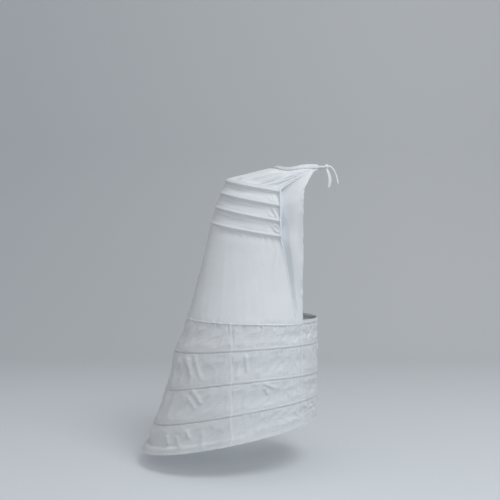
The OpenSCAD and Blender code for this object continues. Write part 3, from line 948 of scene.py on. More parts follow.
@dataclass
class Bustle:
    """Gathered top panel, three tucked tiers, their half hoops and the tapes that keep them bowed."""

    shape: BustleShape
    cloth: float = 0.7
    steel: float = 1.0
    crimp: float = 0.4
    bone_w: float = 6.0
    bone_trim: float = 5.0
    tip_l: float = 10.0
    tape: float = 0.7
    tie_tape_w: float = 15.0
    tie_tape_bow: float = 50.0
    tie_tape_sag: float = 2.0
    tie_tape_end: float = 0.8
    hip_bulge: float = 16.0
    top_arch: float = 1.0
    columns: int = 224
    top_step: float = 2.6
    tier_step: float = 2.4
    drag_from: Pair = (50.0, -8.0)
    puckers: Values = (0.0, 3.4, 4.6, 4.0)
    crease_turns: Values = (0.0, 14.0, 40.0, 65.0, 90.0)
    crease_in: Values = (2.0, 3.0, 7.0, 6.5, 6.0)
    crease_drop: Values = (5.0, 7.0, 14.0, 10.0, 8.5)
    top_creases: tuple[Crease, ...] = (
        Crease((-250.0, -55.0), (-70.0, -20.0), 4.0, 10.0),
        Crease((-225.0, -40.0), (-80.0, -12.0), 4.5, -4.0),
        Crease((-190.0, -55.0), (-50.0, -24.0), 4.0, 3.5),
        Crease((-150.0, -62.0), (-40.0, -28.0), 4.0, 3.0))
    swell_gain: float = 4.6
    swell_bends: Pair = (0.8, 1.6)
    tier_pulls: tuple[Pair, ...] = ((0.3, 3.4), (0.55, 3.0), (0.8, 1.0))
    tier_drawn: Values = (0.1, 0.3, 1.0, 0.4, 0.0)
    crease_step: float = 2.5
    side_from: Pair = (3.0, 14.0)
    gather_share: float = 0.8
    pucker_reach: float = 14.0
    top_fades: Pair = (0.1, 0.14)
    tier_fades: Pair = (0.12, 0.1)
    tier_pitch: float = 11.0
    pucker_at: Pair = (15.0, 26.0)
    crinkle_at: Pair = (12.0, 22.0)
    drag_reach: float = 90.0
    fan_count: float = 15.0
    fan_angle: float = 35.0
    fan_h: Pair = (1.2, 4.4)
    fan_grow: Pair = (20.0, 130.0)
    fan: Wave = Wave(1.0, 1.0, 260.0, 11)
    fan_fine: Wave = Wave(0.25, 1.0, 160.0, 12)
    top_gathers: Wave = Wave(2.6, 3.4, 0.625, 13)
    top_pucker: Wave = Wave(1.6, 9.0, 20.0, 14)
    tier_pucker: Wave = Wave(1.0, 1.0, 40.0, 20)
    tier_slant: Wave = Wave(0.4, 14.0, 14.0, 25)
    tier_drag: Wave = Wave(1.0, 1.0, 90.0, 30)
    tier_soft: Wave = Wave(0.8, 40.0, 55.0, 35)
    tier_fine: Wave = Wave(0.3, 1.0, 30.0, 45)
    tie_twist: Wave = Wave(2.0, 40.0, 1.0, 41)
    seams: list[Line] = field(default_factory=list)

    def waist_turn(self, turns: Array) -> Array:
        """Turn round the waist that each turn of the bustle is gathered to."""
        waist = self.shape.waist
        sign = np.where(turns < 0, -1.0, 1.0)
        return mix(180.0, waist.gap_turn + waist.side_turn, np.abs(turns) / 90.0) * sign

    def top_between(self, turns: Array, share: float) -> Array:
        """Row of the top panel a share of the way from the waistband to the first tuck."""
        shape = self.shape
        start = shape.waist.point(self.waist_turn(turns), 0.0, shape.waist.panel_start)
        end = shape.tuck(0, turns, shape.pocket, shape.tuck_top)
        bulge = self.hip_bulge * np.square(sind(turns))[:, None] * shape.out(0, turns)
        arch = place(0.0, 0.0, self.top_arch * np.square(cosd(turns)))
        rise, fall = self.swell_bends
        swell = self.swell_gain * share**rise * (1.0 - share) ** fall
        return mix(start, end, share) + swell * bulge + 4.0 * share * (1.0 - share) * arch

    def drag_folds(self, grid: Array, turns: Array, share: Array) -> Array:
        """Heights of the folds that fan out from each end of the waistband, and of the gathers between.

        Args:
            grid: Points of the top panel.
            turns: Turn of each column.
            share: Share of the way down of each row.

        Returns:
            Height of the folds at each point.
        """
        ahead = self.drag_from[0] - grid[..., 0]
        below = self.drag_from[1] - grid[..., 2]
        angle = np.degrees(np.arctan2(below, ahead))
        reach = np.hypot(ahead, below)
        side = rise(np.abs(turns), *self.side_from)[None]
        seed = np.where(turns < 0, 0.0, 40.0)[None]
        fan = self.fan_count * np.sqrt(np.maximum(angle, 0.0) / self.fan_angle)
        folds = self.fan.folds(fan + seed, reach) + self.fan_fine.swells(2.3 * fan + seed, reach)
        folds *= mix(*self.fan_h, rise(reach, *self.fan_grow))
        for crease in self.top_creases:
            folds = folds + crease.heights(grid)
        down = share[:, None]
        gathers = self.top_gathers.swells(turns[None], down) * (1.0 - ease(down / self.gather_share))
        near = edge_distance(grid)[None]
        pucker = np.exp(-near / self.pucker_reach) * self.top_pucker.folds(row_way(grid)[:, None], near)
        fade = ease(down / self.top_fades[0]) * ease((1.0 - down) / self.top_fades[1])
        return fade * (side * folds + (1.0 - 0.8 * side) * gathers + pucker)

    def top_panel(self) -> None:
        """Panel from the waistband to the first half hoop."""
        shape = self.shape
        turns = np.linspace(-90.0, 90.0, self.columns)
        around = self.waist_turn(turns)
        rows = [shape.waist.point(around, 0.0, z) for z in (shape.waist.panel_top, shape.waist.panel_start)]
        shares = [0.06, 0.12, 0.22, 0.35, 0.5, 0.68, 0.85]
        rows += [self.top_between(turns, share) for share in shares]
        tuck = shape.tuck_rows(0, turns)
        control = marked(rows + tuck, [0.0, 0.0, *shares, *[1.0] * len(tuck)])
        counts = span_counts(control, self.top_step)
        fine = loft(control, counts)
        pattern, share = fine[..., :3], fine[:, 0, 3]
        grid = raised(pattern, self.drag_folds(pattern, turns, share))
        panel = sheet("bustle_top_cloth", grid, self.cloth, BUSTLE_MIDDLE)
        dress(panel.obj, COTTON, "bustle_top_panel")
        self.seams.append(panel.line(COTTON_LIFT, sum(counts[:len(rows)])))

    def under_tuck(self, k: int, turns: Array, toward: Array) -> list[Array]:
        """Control rows of a panel's upper edge, sewn behind a tuck and drawn in below its fold.

        Args:
            k: Number of the tuck's half hoop.
            turns: Turns along it.
            toward: Row that the panel goes on to.

        Returns:
            The rows, of which the last two turn outward again in a crisp crease.
        """
        shape = self.shape
        edge = shape.tuck(k, turns, -shape.pocket, -shape.tuck_fold)
        depth = np.interp(np.abs(turns), self.crease_turns, self.crease_in)
        drop = np.interp(np.abs(turns), self.crease_turns, self.crease_drop)
        crease = edge - depth[:, None] * shape.out(k, turns) - place(0.0, 0.0, drop)
        behind = shape.tuck(k, turns, -shape.seat, -shape.tuck_low)
        turned = crease + self.crease_step * unit(toward - crease)
        return [*shape.seat_rows(k, turns), behind, crease, turned]

    def tier(self, k: int) -> None:
        """Tier from the tuck above to its own, pulled in beneath the upper tuck.

        Args:
            k: Number of its half hoop.
        """
        shape = self.shape
        turns = np.linspace(-90.0, 90.0, self.columns)
        tuck = shape.tuck_rows(k, turns)
        upper = self.under_tuck(k - 1, turns, tuck[0])
        drawn = np.interp(np.abs(turns), self.crease_turns, self.tier_drawn)[:, None]
        inward = -drawn * shape.out(k, turns)
        between = [mix(upper[-1], tuck[0], s) + pull * inward for s, pull in self.tier_pulls]
        marks = [0.0, 0.0, 0.0, 0.0, 0.06, *[s for s, _ in self.tier_pulls], *[1.0] * len(tuck)]
        control = marked(upper + between + tuck, marks)
        counts = span_counts(control, self.tier_step)
        fine = loft(control, counts)
        pattern, share = fine[..., :3], fine[:, :1, 3]
        near = edge_distance(pattern)[None]
        down = row_way(pattern)[:, None]
        slant = (down + near) / self.tier_pitch + self.tier_slant.swells(near, down, k)
        at, width = self.pucker_at
        pucker = bell(near - at, width) * ease(near / 5.0) * self.tier_pucker.folds(slant, near, k)
        at, width = self.crinkle_at
        crinkle = bell(near - at, width) * ease(near / 4.0) * self.tier_fine.swells(slant * 2.6, near, k)
        drag = np.exp(-near / self.drag_reach) * self.tier_drag.folds(down / 15.0 - near / 55.0, near, k)
        soft = self.tier_soft.swells(down, column_way(pattern)[None], k)
        heights = self.puckers[k] * (pucker + crinkle) + drag + soft
        fade = ease(share / self.tier_fades[0]) * ease((1.0 - share) / self.tier_fades[1])
        grid = raised(pattern, heights * fade)
        tier = sheet(f"bustle_tier_{k}_cloth", grid, self.cloth, BUSTLE_MIDDLE)
        dress(tier.obj, COTTON, f"bustle_tier_{k}")
        self.seams.append(tier.line(COTTON_LIFT, sum(counts[:len(upper) + len(between)])))

    def bone_way(self, k: int) -> tuple[Array, Array]:
        """Distances along a half hoop from its right end, and the turns there."""
        turns = np.linspace(-90.0, 90.0, 721)
        return column_way(self.shape.bone(k, turns)[None]), turns

    def bone(self, k: int) -> None:
        """Flat spring steel of a half hoop, which stops short of the side seams."""
        way, turns = self.bone_way(k)
        part = np.interp(np.linspace(self.bone_trim, way[-1] - self.bone_trim, 120), way, turns)
        rows = [self.shape.tuck(k, part, 0.0, z) for z in np.linspace(self.bone_w / 2, -self.bone_w / 2, 5)]
        steel = sheet(f"bustle_bone_{k + 1}_steel", np.stack(rows), self.steel, BUSTLE_MIDDLE)
        dress(steel.obj, STEEL, f"bustle_bone_{k + 1}")

    def tips(self) -> None:
        """Crimped tips on both ends of every half hoop, in one piece of their own."""
        made = []
        section = crimp_section(self.bone_w, self.steel, self.crimp)
        for k in range(len(self.shape.reach)):
            way, turns = self.bone_way(k)
            for start in (self.bone_trim, way[-1] - self.bone_trim - self.tip_l):
                part = np.interp(np.linspace(start, start + self.tip_l, 9), way, turns)
                rows = [self.shape.tuck(k, part, out, z) for out, z in section]
                made.append(sheet(f"bone_tip_{len(made)}", np.stack(rows), self.crimp, BUSTLE_MIDDLE).obj)
        with bpy.context.temp_override(active_object=made[0], selected_editable_objects=made):
            bpy.ops.object.join()
        made[0].name = "bone_tips_crimped"
        dress(made[0], CRIMP, "bone_tips")

    def tie_tape(self, k: int) -> None:
        """Tape across the inside of the bustle, which sags a little between its seams."""
        shape = self.shape
        half = (shape.half_width(k) - (shape.seat + 0.5) * cosd(shape.end_lean)
                - shape.tuck_seam * sind(shape.end_lean) - self.tie_tape_end)
        turns = np.linspace(-90.0, 90.0, 90)
        rows = []
        for s in np.linspace(0.5, -0.5, 6):
            twist = s * self.tie_twist.swells(turns, 0.5 * k)
            sag = self.tie_tape_sag * np.square(cosd(turns))
            rows.append(place(-shape.seam_x - self.tie_tape_bow * cosd(turns) + twist * cosd(turns),
                              half * sind(turns), shape.end_z(k) + s * self.tie_tape_w - sag))
        tape = sheet(f"tie_tape_{k + 1}_woven", np.stack(rows), self.tape)
        dress(tape.obj, TAPE, f"tie_tape_{k + 1}")

    def build(self) -> None:
        """Makes the whole bustle from the top down."""
        self.top_panel()
        for k in range(len(self.shape.reach)):
            if k:
                self.tier(k)
            self.bone(k)
            self.tie_tape(k)
        self.tips()


def crimp_section(width: float, steel: float, crimp: float) -> list[Pair]:
    """Section of a crimped strip round a flat steel, as offsets out of it and above it.

    Args:
        width: Width of the steel.
        steel: Thickness of the steel.
        crimp: Thickness of the crimped strip.

    Returns:
        Points of the section, open at the steel's back.
    """
    room = 0.15
    high = width / 2 + room + crimp / 2
    out = steel / 2 + room + crimp / 2
    lip = width / 8
    return [(-out, lip), (-out, high), (out, high), (out, -high), (-out, -high), (-out, -lip)]


@dataclass(frozen=True)
class SideFold:
    """Deep fold of a side panel in front of its rear seam.

    Its cloth tilts inward across the whole panel, most over the hip, and turns steeply near the seam
    further down. Pairs named from and change are a depth below the waist and the length that a change
    takes there. The other pairs are the values above and below such a change.
    """

    depth: float = 15.0
    tilts: Pair = (2.1, 0.45)
    tilt_from: Pair = (40.0, 60.0)
    tilt_change: Pair = (210.0, 90.0)
    tilt_bend: float = 1.1
    starts: Pair = (0.95, 0.61)
    steeps: Pair = (0.85, 1.3)
    turn_from: Pair = (140.0, 100.0)
    turn_change: Pair = (230.0, 80.0)
    turn_end: float = 0.97
    turn_bend: float = 1.15
    sewn_w: float = 0.035
    arch_bend: float = 0.8

    def heights(self, z: Array, share: Array, way: Array) -> Array:
        """Height of the fold, which is negative because it sinks in.

        Args:
            z: Height of each point of the panel.
            share: Share of the way from the front edge to the seam of each column.
            way: Share of the way down of each point.

        Returns:
            The height at each point.
        """
        sewn = ease((1.0 - share) / self.sewn_w)
        tilt = mix(*self.tilts, deeper(z, *self.tilt_change)) * deeper(z, *self.tilt_from)
        tilt = tilt * share**self.tilt_bend
        start = mix(*self.starts, deeper(z, *self.turn_from))
        steep = mix(*self.steeps, deeper(z, *self.turn_change)) * deeper(z, *self.turn_from)
        turn = steep * np.clip((share - start) / (self.turn_end - start), 0.0, 1.0) ** self.turn_bend
        return -self.depth * sewn * (tilt + turn) * np.sin(math.pi * way) ** self.arch_bend


@dataclass
class UpperPanels:
    """Back panel below the bustle, and the two side panels from the waistband over the hips."""

    bustle: Bustle
    skirt: SkirtShape
    cloth: float = 0.7
    columns: int = 194
    strip_columns: int = 50
    hollow: float = 4.0
    edge_x: float = 5.0
    edge_reach: float = 60.0
    edge_drop: float = 115.0
    panel_step: float = 3.3
    strip_step: float = 4.0
    pipe_half: float = 2.6
    pipe_h: float = 1.5
    pipe_cloth: float = 0.6
    hem_share: float = 0.09
    hem_h: float = 0.7
    stitch_share: float = 0.12
    back_shares: Values = (0.14, 0.27, 0.5, 0.75, 0.93)
    gather_from: Pair = (12.0, 30.0)
    tuck_reach: float = 11.0
    lap_reach: float = 12.0
    lap_edge_reach: float = 7.0
    edge_fade: float = 14.0
    edge_bend: float = 1.6
    low_fade: Pair = (500.0, 60.0)
    pipe_count: float = 62.0
    pipe_shift: float = 3.0
    side_fold: SideFold = SideFold()
    tuck_gathers: Wave = Wave(3.0, 15.0, 60.0, 51)
    lap_gathers: Wave = Wave(3.8, 11.0, 50.0, 52)
    back_soft: Wave = Wave(1.6, 95.0, 190.0, 53)
    back_fine: Wave = Wave(0.4, 16.0, 90.0, 54)
    lap_edge: Wave = Wave(1.5, 7.0, 40.0, 55)
    side_soft: Wave = Wave(1.8, 1.0, 90.0, 0)
    side_edge: Wave = Wave(2.6, 30.0, 0.5, 1)
    side_fan: Wave = Wave(1.8, 0.2, 120.0, 2)
    side_sway: Wave = Wave(1.8, 21.0, 1.0, 3)
    pipe_tucks: Wave = Wave(0.4, 1.0, 1.0, 66)
    binding_w: float = 7.0
    binding_lift: float = 0.8
    back_crease: Crease = Crease((-83.0, -287.0), (-104.0, -392.0), 5.0, 1.6)
    seams: list[Line] = field(default_factory=list)

    def lap_turns(self, turns: Array) -> Array:
        """Turn round the top hoop that each turn of the bustle hangs down to."""
        foot = self.skirt.turn_at(0, self.skirt.foot_x)
        seam = self.skirt.turn_at(0, self.skirt.back_seam_x)
        return np.interp(turns, [-90.0, -54.0, 54.0, 90.0], [360.0 - foot, 360.0 - seam, seam, foot])

    def back_between(self, turns: Array, share: float) -> Array:
        """Row of the back panel a share of the way from the last tuck to the top hoop."""
        shape = self.bustle.shape
        k = len(shape.reach) - 1
        start = shape.tuck(k, turns, -shape.seat, shape.seat_low)
        end = self.skirt.lap(self.lap_turns(turns), -self.skirt.lap_top)
        return mix(start, end, share) - 4.0 * share * (1.0 - share) * self.hollow * shape.out(k, turns)

    def back_panel(self) -> None:
        """Panel from the last half hoop down to the top of the skirt."""
        shape, skirt = self.bustle.shape, self.skirt
        turns = np.linspace(-90.0, 90.0, self.columns)
        between = [self.back_between(turns, share) for share in self.back_shares]
        rows = [*self.bustle.under_tuck(len(shape.reach) - 1, turns, between[0]), *between]
        drops = (-skirt.lap_top, -6.0, 0.0, skirt.lap_low)
        rows += [skirt.lap(self.lap_turns(turns), drop) for drop in drops]
        control = np.stack(rows)
        counts = span_counts(control, self.panel_step)
        pattern = loft(control, counts)
        down, along = row_way(pattern), column_way(pattern)[None]
        under = down[:, None] - down[sum(counts[:3])]
        above = down[-1] - down[:, None]
        sides = rise(np.abs(turns), *self.gather_from)[None]
        held = np.exp(-np.maximum(under, 0.0) / self.tuck_reach)
        gathers = sides * held * self.tuck_gathers.folds(along, under)
        lap = np.exp(-above / self.lap_reach) * self.lap_gathers.folds(along, above)
        soft = self.back_soft.swells(along, down[:, None])
        fine = self.back_fine.swells(along + 0.08 * under, under)
        beside = ease(edge_distance(pattern) / self.edge_fade)[None]
        inside = ease(under / 4.0) * mix(0.3, 1.0, ease(above / 5.0)) * beside
        grid = raised(pattern, inside * (gathers + lap + soft + fine + self.back_crease.heights(pattern)))
        grid[..., 2] += np.exp(-above / self.lap_edge_reach) * self.lap_edge.folds(along, above)
        panel = sheet("back_panel_cloth", grid, self.cloth, BACK_MIDDLE)
        dress(panel.obj, COTTON, "back_panel")
        self.seams += [panel.line(COTTON_LIFT, row) for row in (-2, sum(counts[:10]))]
        first = int(np.searchsorted(down, down[-1] - self.binding_w))
        lapped = panel.outside(self.binding_lift)
        binding = sheet("back_panel_binding", lapped[first:, 2:-2], self.cloth, BACK_MIDDLE)
        dress(binding.obj, FELL)

    def front_edge(self, z: Array) -> Array:
        """Front edge of the left side panel at a height."""
        waist, skirt = self.bustle.shape.waist, self.skirt
        low = skirt.lap(np.array(skirt.turn_at(0, skirt.front_seam_x)), -skirt.lap_top)
        below = np.clip((-z - waist.hip_drop) / (-low[2] - waist.hip_drop), 0.0, 1.0)
        x = self.edge_x + self.edge_reach * np.maximum(0.0, 1.0 + z / self.edge_drop) ** self.edge_bend
        side = waist.hip_side(x, np.maximum(z, -waist.hip_drop))
        return place(mix(x, low[0], below), mix(side, low[1], below), z)

    def edges(self) -> tuple[Array, Array]:
        """Front and rear edges of the left side panel, from the waistband down.

        Returns:
            Points of the front edge and of the rear edge.
        """
        shape, skirt = self.bustle.shape, self.skirt
        waist = shape.waist
        end = np.array([90.0])
        gap = np.array([skirt.seam_gap, 0.0, 0.0])
        step = math.degrees(skirt.seam_gap / waist.half_width)
        foot = np.array([skirt.turn_at(0, skirt.foot_x + skirt.seam_gap)])
        start = self.bustle.waist_turn(end) - step
        rear = [waist.point(start, 0.0, z) for z in (waist.panel_top, waist.panel_start)]
        rear += [self.bustle.top_between(end, share) + gap for share in (0.12, 0.35, 0.68)]
        rear += [shape.tuck(k, end, -shape.seat, 0.0) + gap for k in range(len(shape.reach))]
        rear += [self.back_between(end, share) + gap for share in (0.25, 0.5, 0.75)]
        rear += [skirt.lap(foot, drop) for drop in (-skirt.lap_top, skirt.lap_low)]
        rear = np.concatenate(rear)
        front = self.front_edge(rear[:, 2])
        for row in (0, 1):
            front[row] = waist.point(np.array(waist.gap_turn + step), 0.0, rear[row, 2])
        for row, drop in ((-2, -skirt.lap_top), (-1, skirt.lap_low)):
            front[row] = skirt.lap(np.array(skirt.turn_at(0, skirt.front_seam_x)), drop)
        return front, rear

    def side_panel(self, side: Side) -> None:
        """Panel from the waistband over the hip to the top of the skirt.

        Args:
            side: Which side it hangs on.
        """
        front, rear = self.edges()
        share = np.linspace(1.0, 0.0, self.strip_columns)
        control = mix(front[:, None], rear[:, None], share[None, :, None])
        if side is Side.RIGHT:
            control = control[:, ::-1] * np.array([1.0, -1.0, 1.0])
            share = share[::-1]
        pattern = loft(control, span_counts(control, self.strip_step))
        z = pattern[..., 2]
        seed = 60 if side is Side.RIGHT else 70
        low_fade = 1.0 - deeper(z, *self.low_fade)
        way = np.clip((rear[1, 2] - z) / (rear[1, 2] - rear[-2, 2]), 0.0, 1.0)
        fold = self.side_fold.heights(z, share, way)
        soft = self.side_soft.swells(share * 2.4, z, seed) * deeper(z, 20.0, 60.0) * low_fade
        edge = self.side_edge.folds(z, share, seed) * bell(share, 0.14) * deeper(z, 50.0, 60.0) * low_fade
        fan = self.side_fan.folds(share, z, seed) * bell(z + 45.0, 40.0) * deeper(z, 12.0, 20.0)
        hem = self.hem_h * ease((self.hem_share - share) / 0.03)
        sway = self.side_sway.folds(z, share * 1.5, seed) * bell(share, 0.12)
        grid = raised(pattern, fold + soft + edge + fan + hem)
        grid[..., 0] += sway * deeper(z, 60.0, 40.0) * low_fade
        name = f"side_panel_{side.word}"
        panel = sheet(f"{name}_cloth", grid, self.cloth, HIP_MIDDLE)
        dress(panel.obj, COTTON, name)
        column = int(np.argmin(np.abs(share - self.stitch_share)))
        self.seams.append(panel.line(COTTON_LIFT, np.s_[:, column]))

    def side_seam(self, side: Side) -> None:
        """Felled seam down the side, from the waistband along the bustle and the back panel to the top hoop.

        Args:
            side: Which side it runs down.
        """
        bustle, shape = self.bustle, self.bustle.shape
        end = np.array([90.0 * side.value])
        stations = [bustle.top_between(end, share) for share in np.linspace(0.04, 0.94, 7)]
        for k in range(len(shape.reach)):
            stations += [shape.tuck(k, end, shape.pocket, up) for up in (shape.tuck_top, -shape.tuck_low)]
        stations += [self.back_between(end, share) for share in np.linspace(0.03, 0.95, 8)]
        route = smooth_route(np.concatenate(stations), 420)
        bound = ease((route[:, 2] - shape.end_z(len(shape.reach) - 1)) / 30.0 + 1.5)
        route[:, 0] -= self.pipe_shift * bound
        out = place(0.0, float(side.value), 0.25)
        along = unit(np.gradient(route, axis=0))
        across = unit(np.cross(along, out))
        out = unit(np.cross(across, along))
        way = np.linspace(0.0, self.pipe_count, len(route))
        tuck = 1.0 + self.pipe_tucks.folds(way, 0.0)
        columns = []
        for spot in np.linspace(-1.0, 1.0, 9):
            lift = 1.0 + self.pipe_h * (1.0 - spot**2) ** 0.5 * tuck * mix(0.4, 1.0, bound)
            columns.append(route + across * spot * self.pipe_half + out * lift[:, None])
        strip = sheet(f"side_seam_{side.word}", np.stack(columns, axis=1), self.pipe_cloth, BUSTLE_MIDDLE)
        dress(strip.obj, COTTON)

    def build(self) -> None:
        """Makes the back panel, both side panels and their seams."""
        self.back_panel()
        for side in Side:
            self.side_panel(side)
        for side in Side:
            self.side_seam(side)


@dataclass(frozen=True)
class WallRow:
    """One control row of the skirt's wall: a hoop or the middle of a tier, and its distances there."""

    level: float
    drop: float
    out: float
    pull: float = 0.0


@dataclass
class Skirt:
    """Tube of thin lawn over the five full hoops, cut as a front, two sides and a back."""

    shape: SkirtShape
    cloth: float = 0.6
    row_step: float = 3.7
    fell_half: float = 2.4
    fell_lift: float = 1.5
    hem_w: float = 9.0
    hem_lift: float = 0.7
    edge_fade: float = 12.0
    pinch: float = -0.2
    puff: float = 1.2
    creases: tuple[Crease, ...] = (
        Crease((-413.0, -680.0), (-393.0, -765.0), 9.0, 4.2),
        Crease((-386.0, -672.0), (-356.0, -768.0), 8.0, 3.8),
        Crease((-200.0, -660.0), (-195.0, -738.0), 5.5, 3.8),
        Crease((-395.0, -792.0), (-350.0, -850.0), 8.5, 4.4),
        Crease((-410.0, -815.0), (-374.0, -868.0), 7.5, 3.4),
        Crease((-143.0, -766.0), (-92.0, -790.0), 5.5, 3.6),
        Crease((-136.0, -778.0), (-120.0, -812.0), 5.5, 3.6),
        Crease((-409.0, -930.0), (-393.0, -968.0), 6.5, 4.0),
        Crease((-350.0, -926.0), (-350.0, -1000.0), 8.0, 3.4),
        Crease((-484.0, -960.0), (-472.0, -1000.0), 6.0, 3.6),
        Crease((-446.0, -955.0), (-428.0, -1002.0), 6.0, 3.8))
    crease_gain: float = 1.3
    level_drop: float = 110.0
    hoop_pitch: float = 120.0
    fold_r: float = 250.0
    stitch_drop: float = 4.9
    panel_columns: tuple[tuple[str, int], ...] = (
        ("side_right", 88), ("back", 224), ("side_left", 88), ("front", 104))
    drift: Wave = Wave(9.0, 70.0, 1.0, 80)
    upright: Wave = Wave(2.5, 44.0, 1.0, 81)
    slanted: Wave = Wave(2.0, 33.0, 1.0, 82)
    fine: Wave = Wave(0.5, 7.0, 1.0, 83)
    gathers: Wave = Wave(1.0, 13.0, 1.0, 84)
    gather_h: float = 1.5
    top_gather_h: float = 2.4
    gather_from: Pair = (0.05, 0.05)
    slack_from: Pair = (0.08, 0.16)
    crumple_at: Pair = (22.0, 34.0)
    drawn_at: Pair = (7.0, 4.0)
    crumple: Wave = Wave(3.0, 24.0, 26.0, 85)
    drawn: Wave = Wave(0.9, 8.0, 1.0, 86)
    seams: list[Line] = field(default_factory=list)

    def wall_rows(self) -> list[WallRow]:
        """Control rows from the top edge to the hem.

        Returns:
            Rows with a ridge over each hoop, a slack tier between two, and a rolled hem.
        """
        shape = self.shape
        rows = []
        for k in range(shape.last + 1):
            if k == shape.last:
                rows.append(WallRow(k, -shape.hem_hollow_h, shape.wall_out, shape.hem_hollow))
            groove = shape.wall_out - self.pinch
            rows += [WallRow(k, -shape.ridge_foot - 4.0, shape.wall_out + self.puff / 2),
                     WallRow(k, -shape.ridge_half - 1.2, shape.wall_out + self.puff / 2),
                     WallRow(k, 1.0 - shape.ridge_half, shape.ridge_out),
                     WallRow(k, 0.0, shape.ridge_out + 0.3)]
            if k < shape.last:
                rows += [WallRow(k, shape.ridge_half - 1.0, shape.ridge_out),
                         WallRow(k, shape.ridge_half + 1.2, groove if k else shape.wall_out + self.puff),
                         WallRow(k, shape.ridge_foot + 4.0, shape.wall_out + self.puff),
                         WallRow(k + 0.5, 0.0, shape.wall_out - shape.hollow)]
        roll = ((2.6, shape.ridge_out), (4.2, groove),
                (5.8, shape.wall_out + 1.5), (7.0, shape.wall_out + 0.6))
        return rows + [WallRow(shape.last, drop, out) for drop, out in roll]

    def turns(self, level: float, panel: str, columns: int) -> Array:
        """Turns of a panel's upright lines at a level, which face outward from right to left.

        Args:
            level: Level between the hoops.
            panel: Part of the panel's name that tells which it is.
            columns: Number of upright lines.

        Returns:
            The turns.
        """
        shape = self.shape
        gap = math.degrees(shape.seam_gap / 2 / shape.at(shape.half_w, level))
        front = shape.turn_at(level, shape.front_seam_x)
        back = shape.turn_at(level, shape.back_seam_x)
        start, end = {
            "front": (front - gap, gap - front),
            "side_left": (back - gap, front + gap),
            "back": (360.0 - back - gap, back + gap),
            "side_right": (360.0 - front - gap, 360.0 - back + gap)}[panel]
        return np.linspace(start, end, columns)

    def pattern(self, panel: str, columns: int) -> tuple[Array, Array, Array]:
        """Smooth wall of a panel, before its folds.

        Args:
            panel: Which panel.
            columns: Number of its upright lines.

        Returns:
            Its grid, the level of each point and the turn of each point.
        """
        rows = []
        for row in self.wall_rows():
            turns = self.turns(row.level, panel, columns)
            pull = row.pull * ((1.0 - cosd(turns)) / 2) ** 3
            points = self.shape.wall(row.level, row.drop, turns, row.out - pull)
            level = np.full((columns, 1), row.level + row.drop / self.level_drop)
            rows.append(np.concatenate([points, level, turns[:, None]], axis=1))
        fine = loft(np.stack(rows), self.counts())
        return fine[..., :3], fine[..., 3], fine[..., 4]

    def counts(self) -> list[int]:
        """Number of stretches between control rows, the same for every panel."""
        rows = []
        for row in self.wall_rows():
            turns = self.turns(row.level, "back", 24)
            rows.append(self.shape.wall(row.level, row.drop, turns, row.out))
        return span_counts(np.stack(rows), self.row_step)

    def folds(self, grid: Array, level: Array, turn: Array) -> Array:
        """Heights of the slack folds between two hoops.

        Multiples of the tier's number keep one tier from repeating another.

        Args:
            grid: Points of a panel.
            level: Level of each point.
            turn: Turn of each point.

        Returns:
            Height of the folds at each point.
        """
        tier = np.clip(np.floor(level), 0, self.shape.last - 1)
        part = level - tier
        slack = rise(part, *self.slack_from) * rise(1.0 - part, *self.slack_from)
        way = np.radians(turn) * self.fold_r
        drift = self.drift.swells(way, 2.0 * part + 9.0 * tier)
        upright = self.upright.folds(way + drift + 136.4 * tier, 1.3 * part + 5.0 * tier)
        slanted = self.slanted.folds(way + 70.0 * part + drift + 240.9 * tier, 1.8 * part + 3.0 * tier)
        fine = self.fine.swells(way, 3.0 * part + 2.0 * tier)
        below = np.exp(-np.maximum(part - 0.1, 0.0) / 0.1) * (part < 0.5)
        above = 0.6 * np.exp(-np.maximum(0.9 - part, 0.0) / 0.06) * (part >= 0.5)
        held = rise(part, *self.gather_from) * rise(1.0 - part, *self.gather_from) * (below + above)
        gather_h = np.where(tier > 0.0, self.gather_h, self.top_gather_h)
        gathers = gather_h * held * self.gathers.folds(way, 3.7 * tier)
        at, width = self.crumple_at
        from_front = np.abs(np.mod(turn + 180.0, 360.0) - 180.0)
        crumple = bell(from_front - at, width) * self.crumple.folds(
            way + 40.0 * part, 90.0 * part - way + 286.0 * tier)
        at, width = self.drawn_at
        beside = np.abs(level - np.round(level)) * self.hoop_pitch
        drawn = bell(beside - at, width) * self.drawn.folds(way, 4.3 * np.round(level))
        heights = slack * (upright + slanted + fine + crumple) + gathers + drawn
        for crease in self.creases:
            heights = heights + self.crease_gain * crease.heights(grid)
        return heights

    def panel(self, panel: str, columns: int) -> Cloth:
        """One panel of the skirt with its folds.

        Args:
            panel: Which panel.
            columns: Number of its upright lines.

        Returns:
            The panel.
        """
        pattern, level, turn = self.pattern(panel, columns)
        inside = ease(edge_distance(pattern) / self.edge_fade)[None]
        grid = raised(pattern, self.folds(pattern, level, turn) * inside)
        beside = panel.startswith("side")
        name = "skirt_" + (f"side_panel_{panel[5:]}" if beside else f"{panel}_panel")
        made = sheet(f"{name}_lawn", grid, self.cloth, SKIRT_MIDDLE)
        # Painted light: the back and front panels take the brighter copy of the lawn, the side panels the
        # plain lawn.
        dress(made.obj, LAWN if beside else PAINTED_LIGHT_LAWN, name)
        for k in range(self.shape.last + 1):
            for drop in (-self.stitch_drop, self.stitch_drop):
                row = int(np.argmin(np.abs(level[:, 0] - k - drop / self.level_drop)))
                self.seams.append(made.line(LAWN_LIFT, row))
        return made

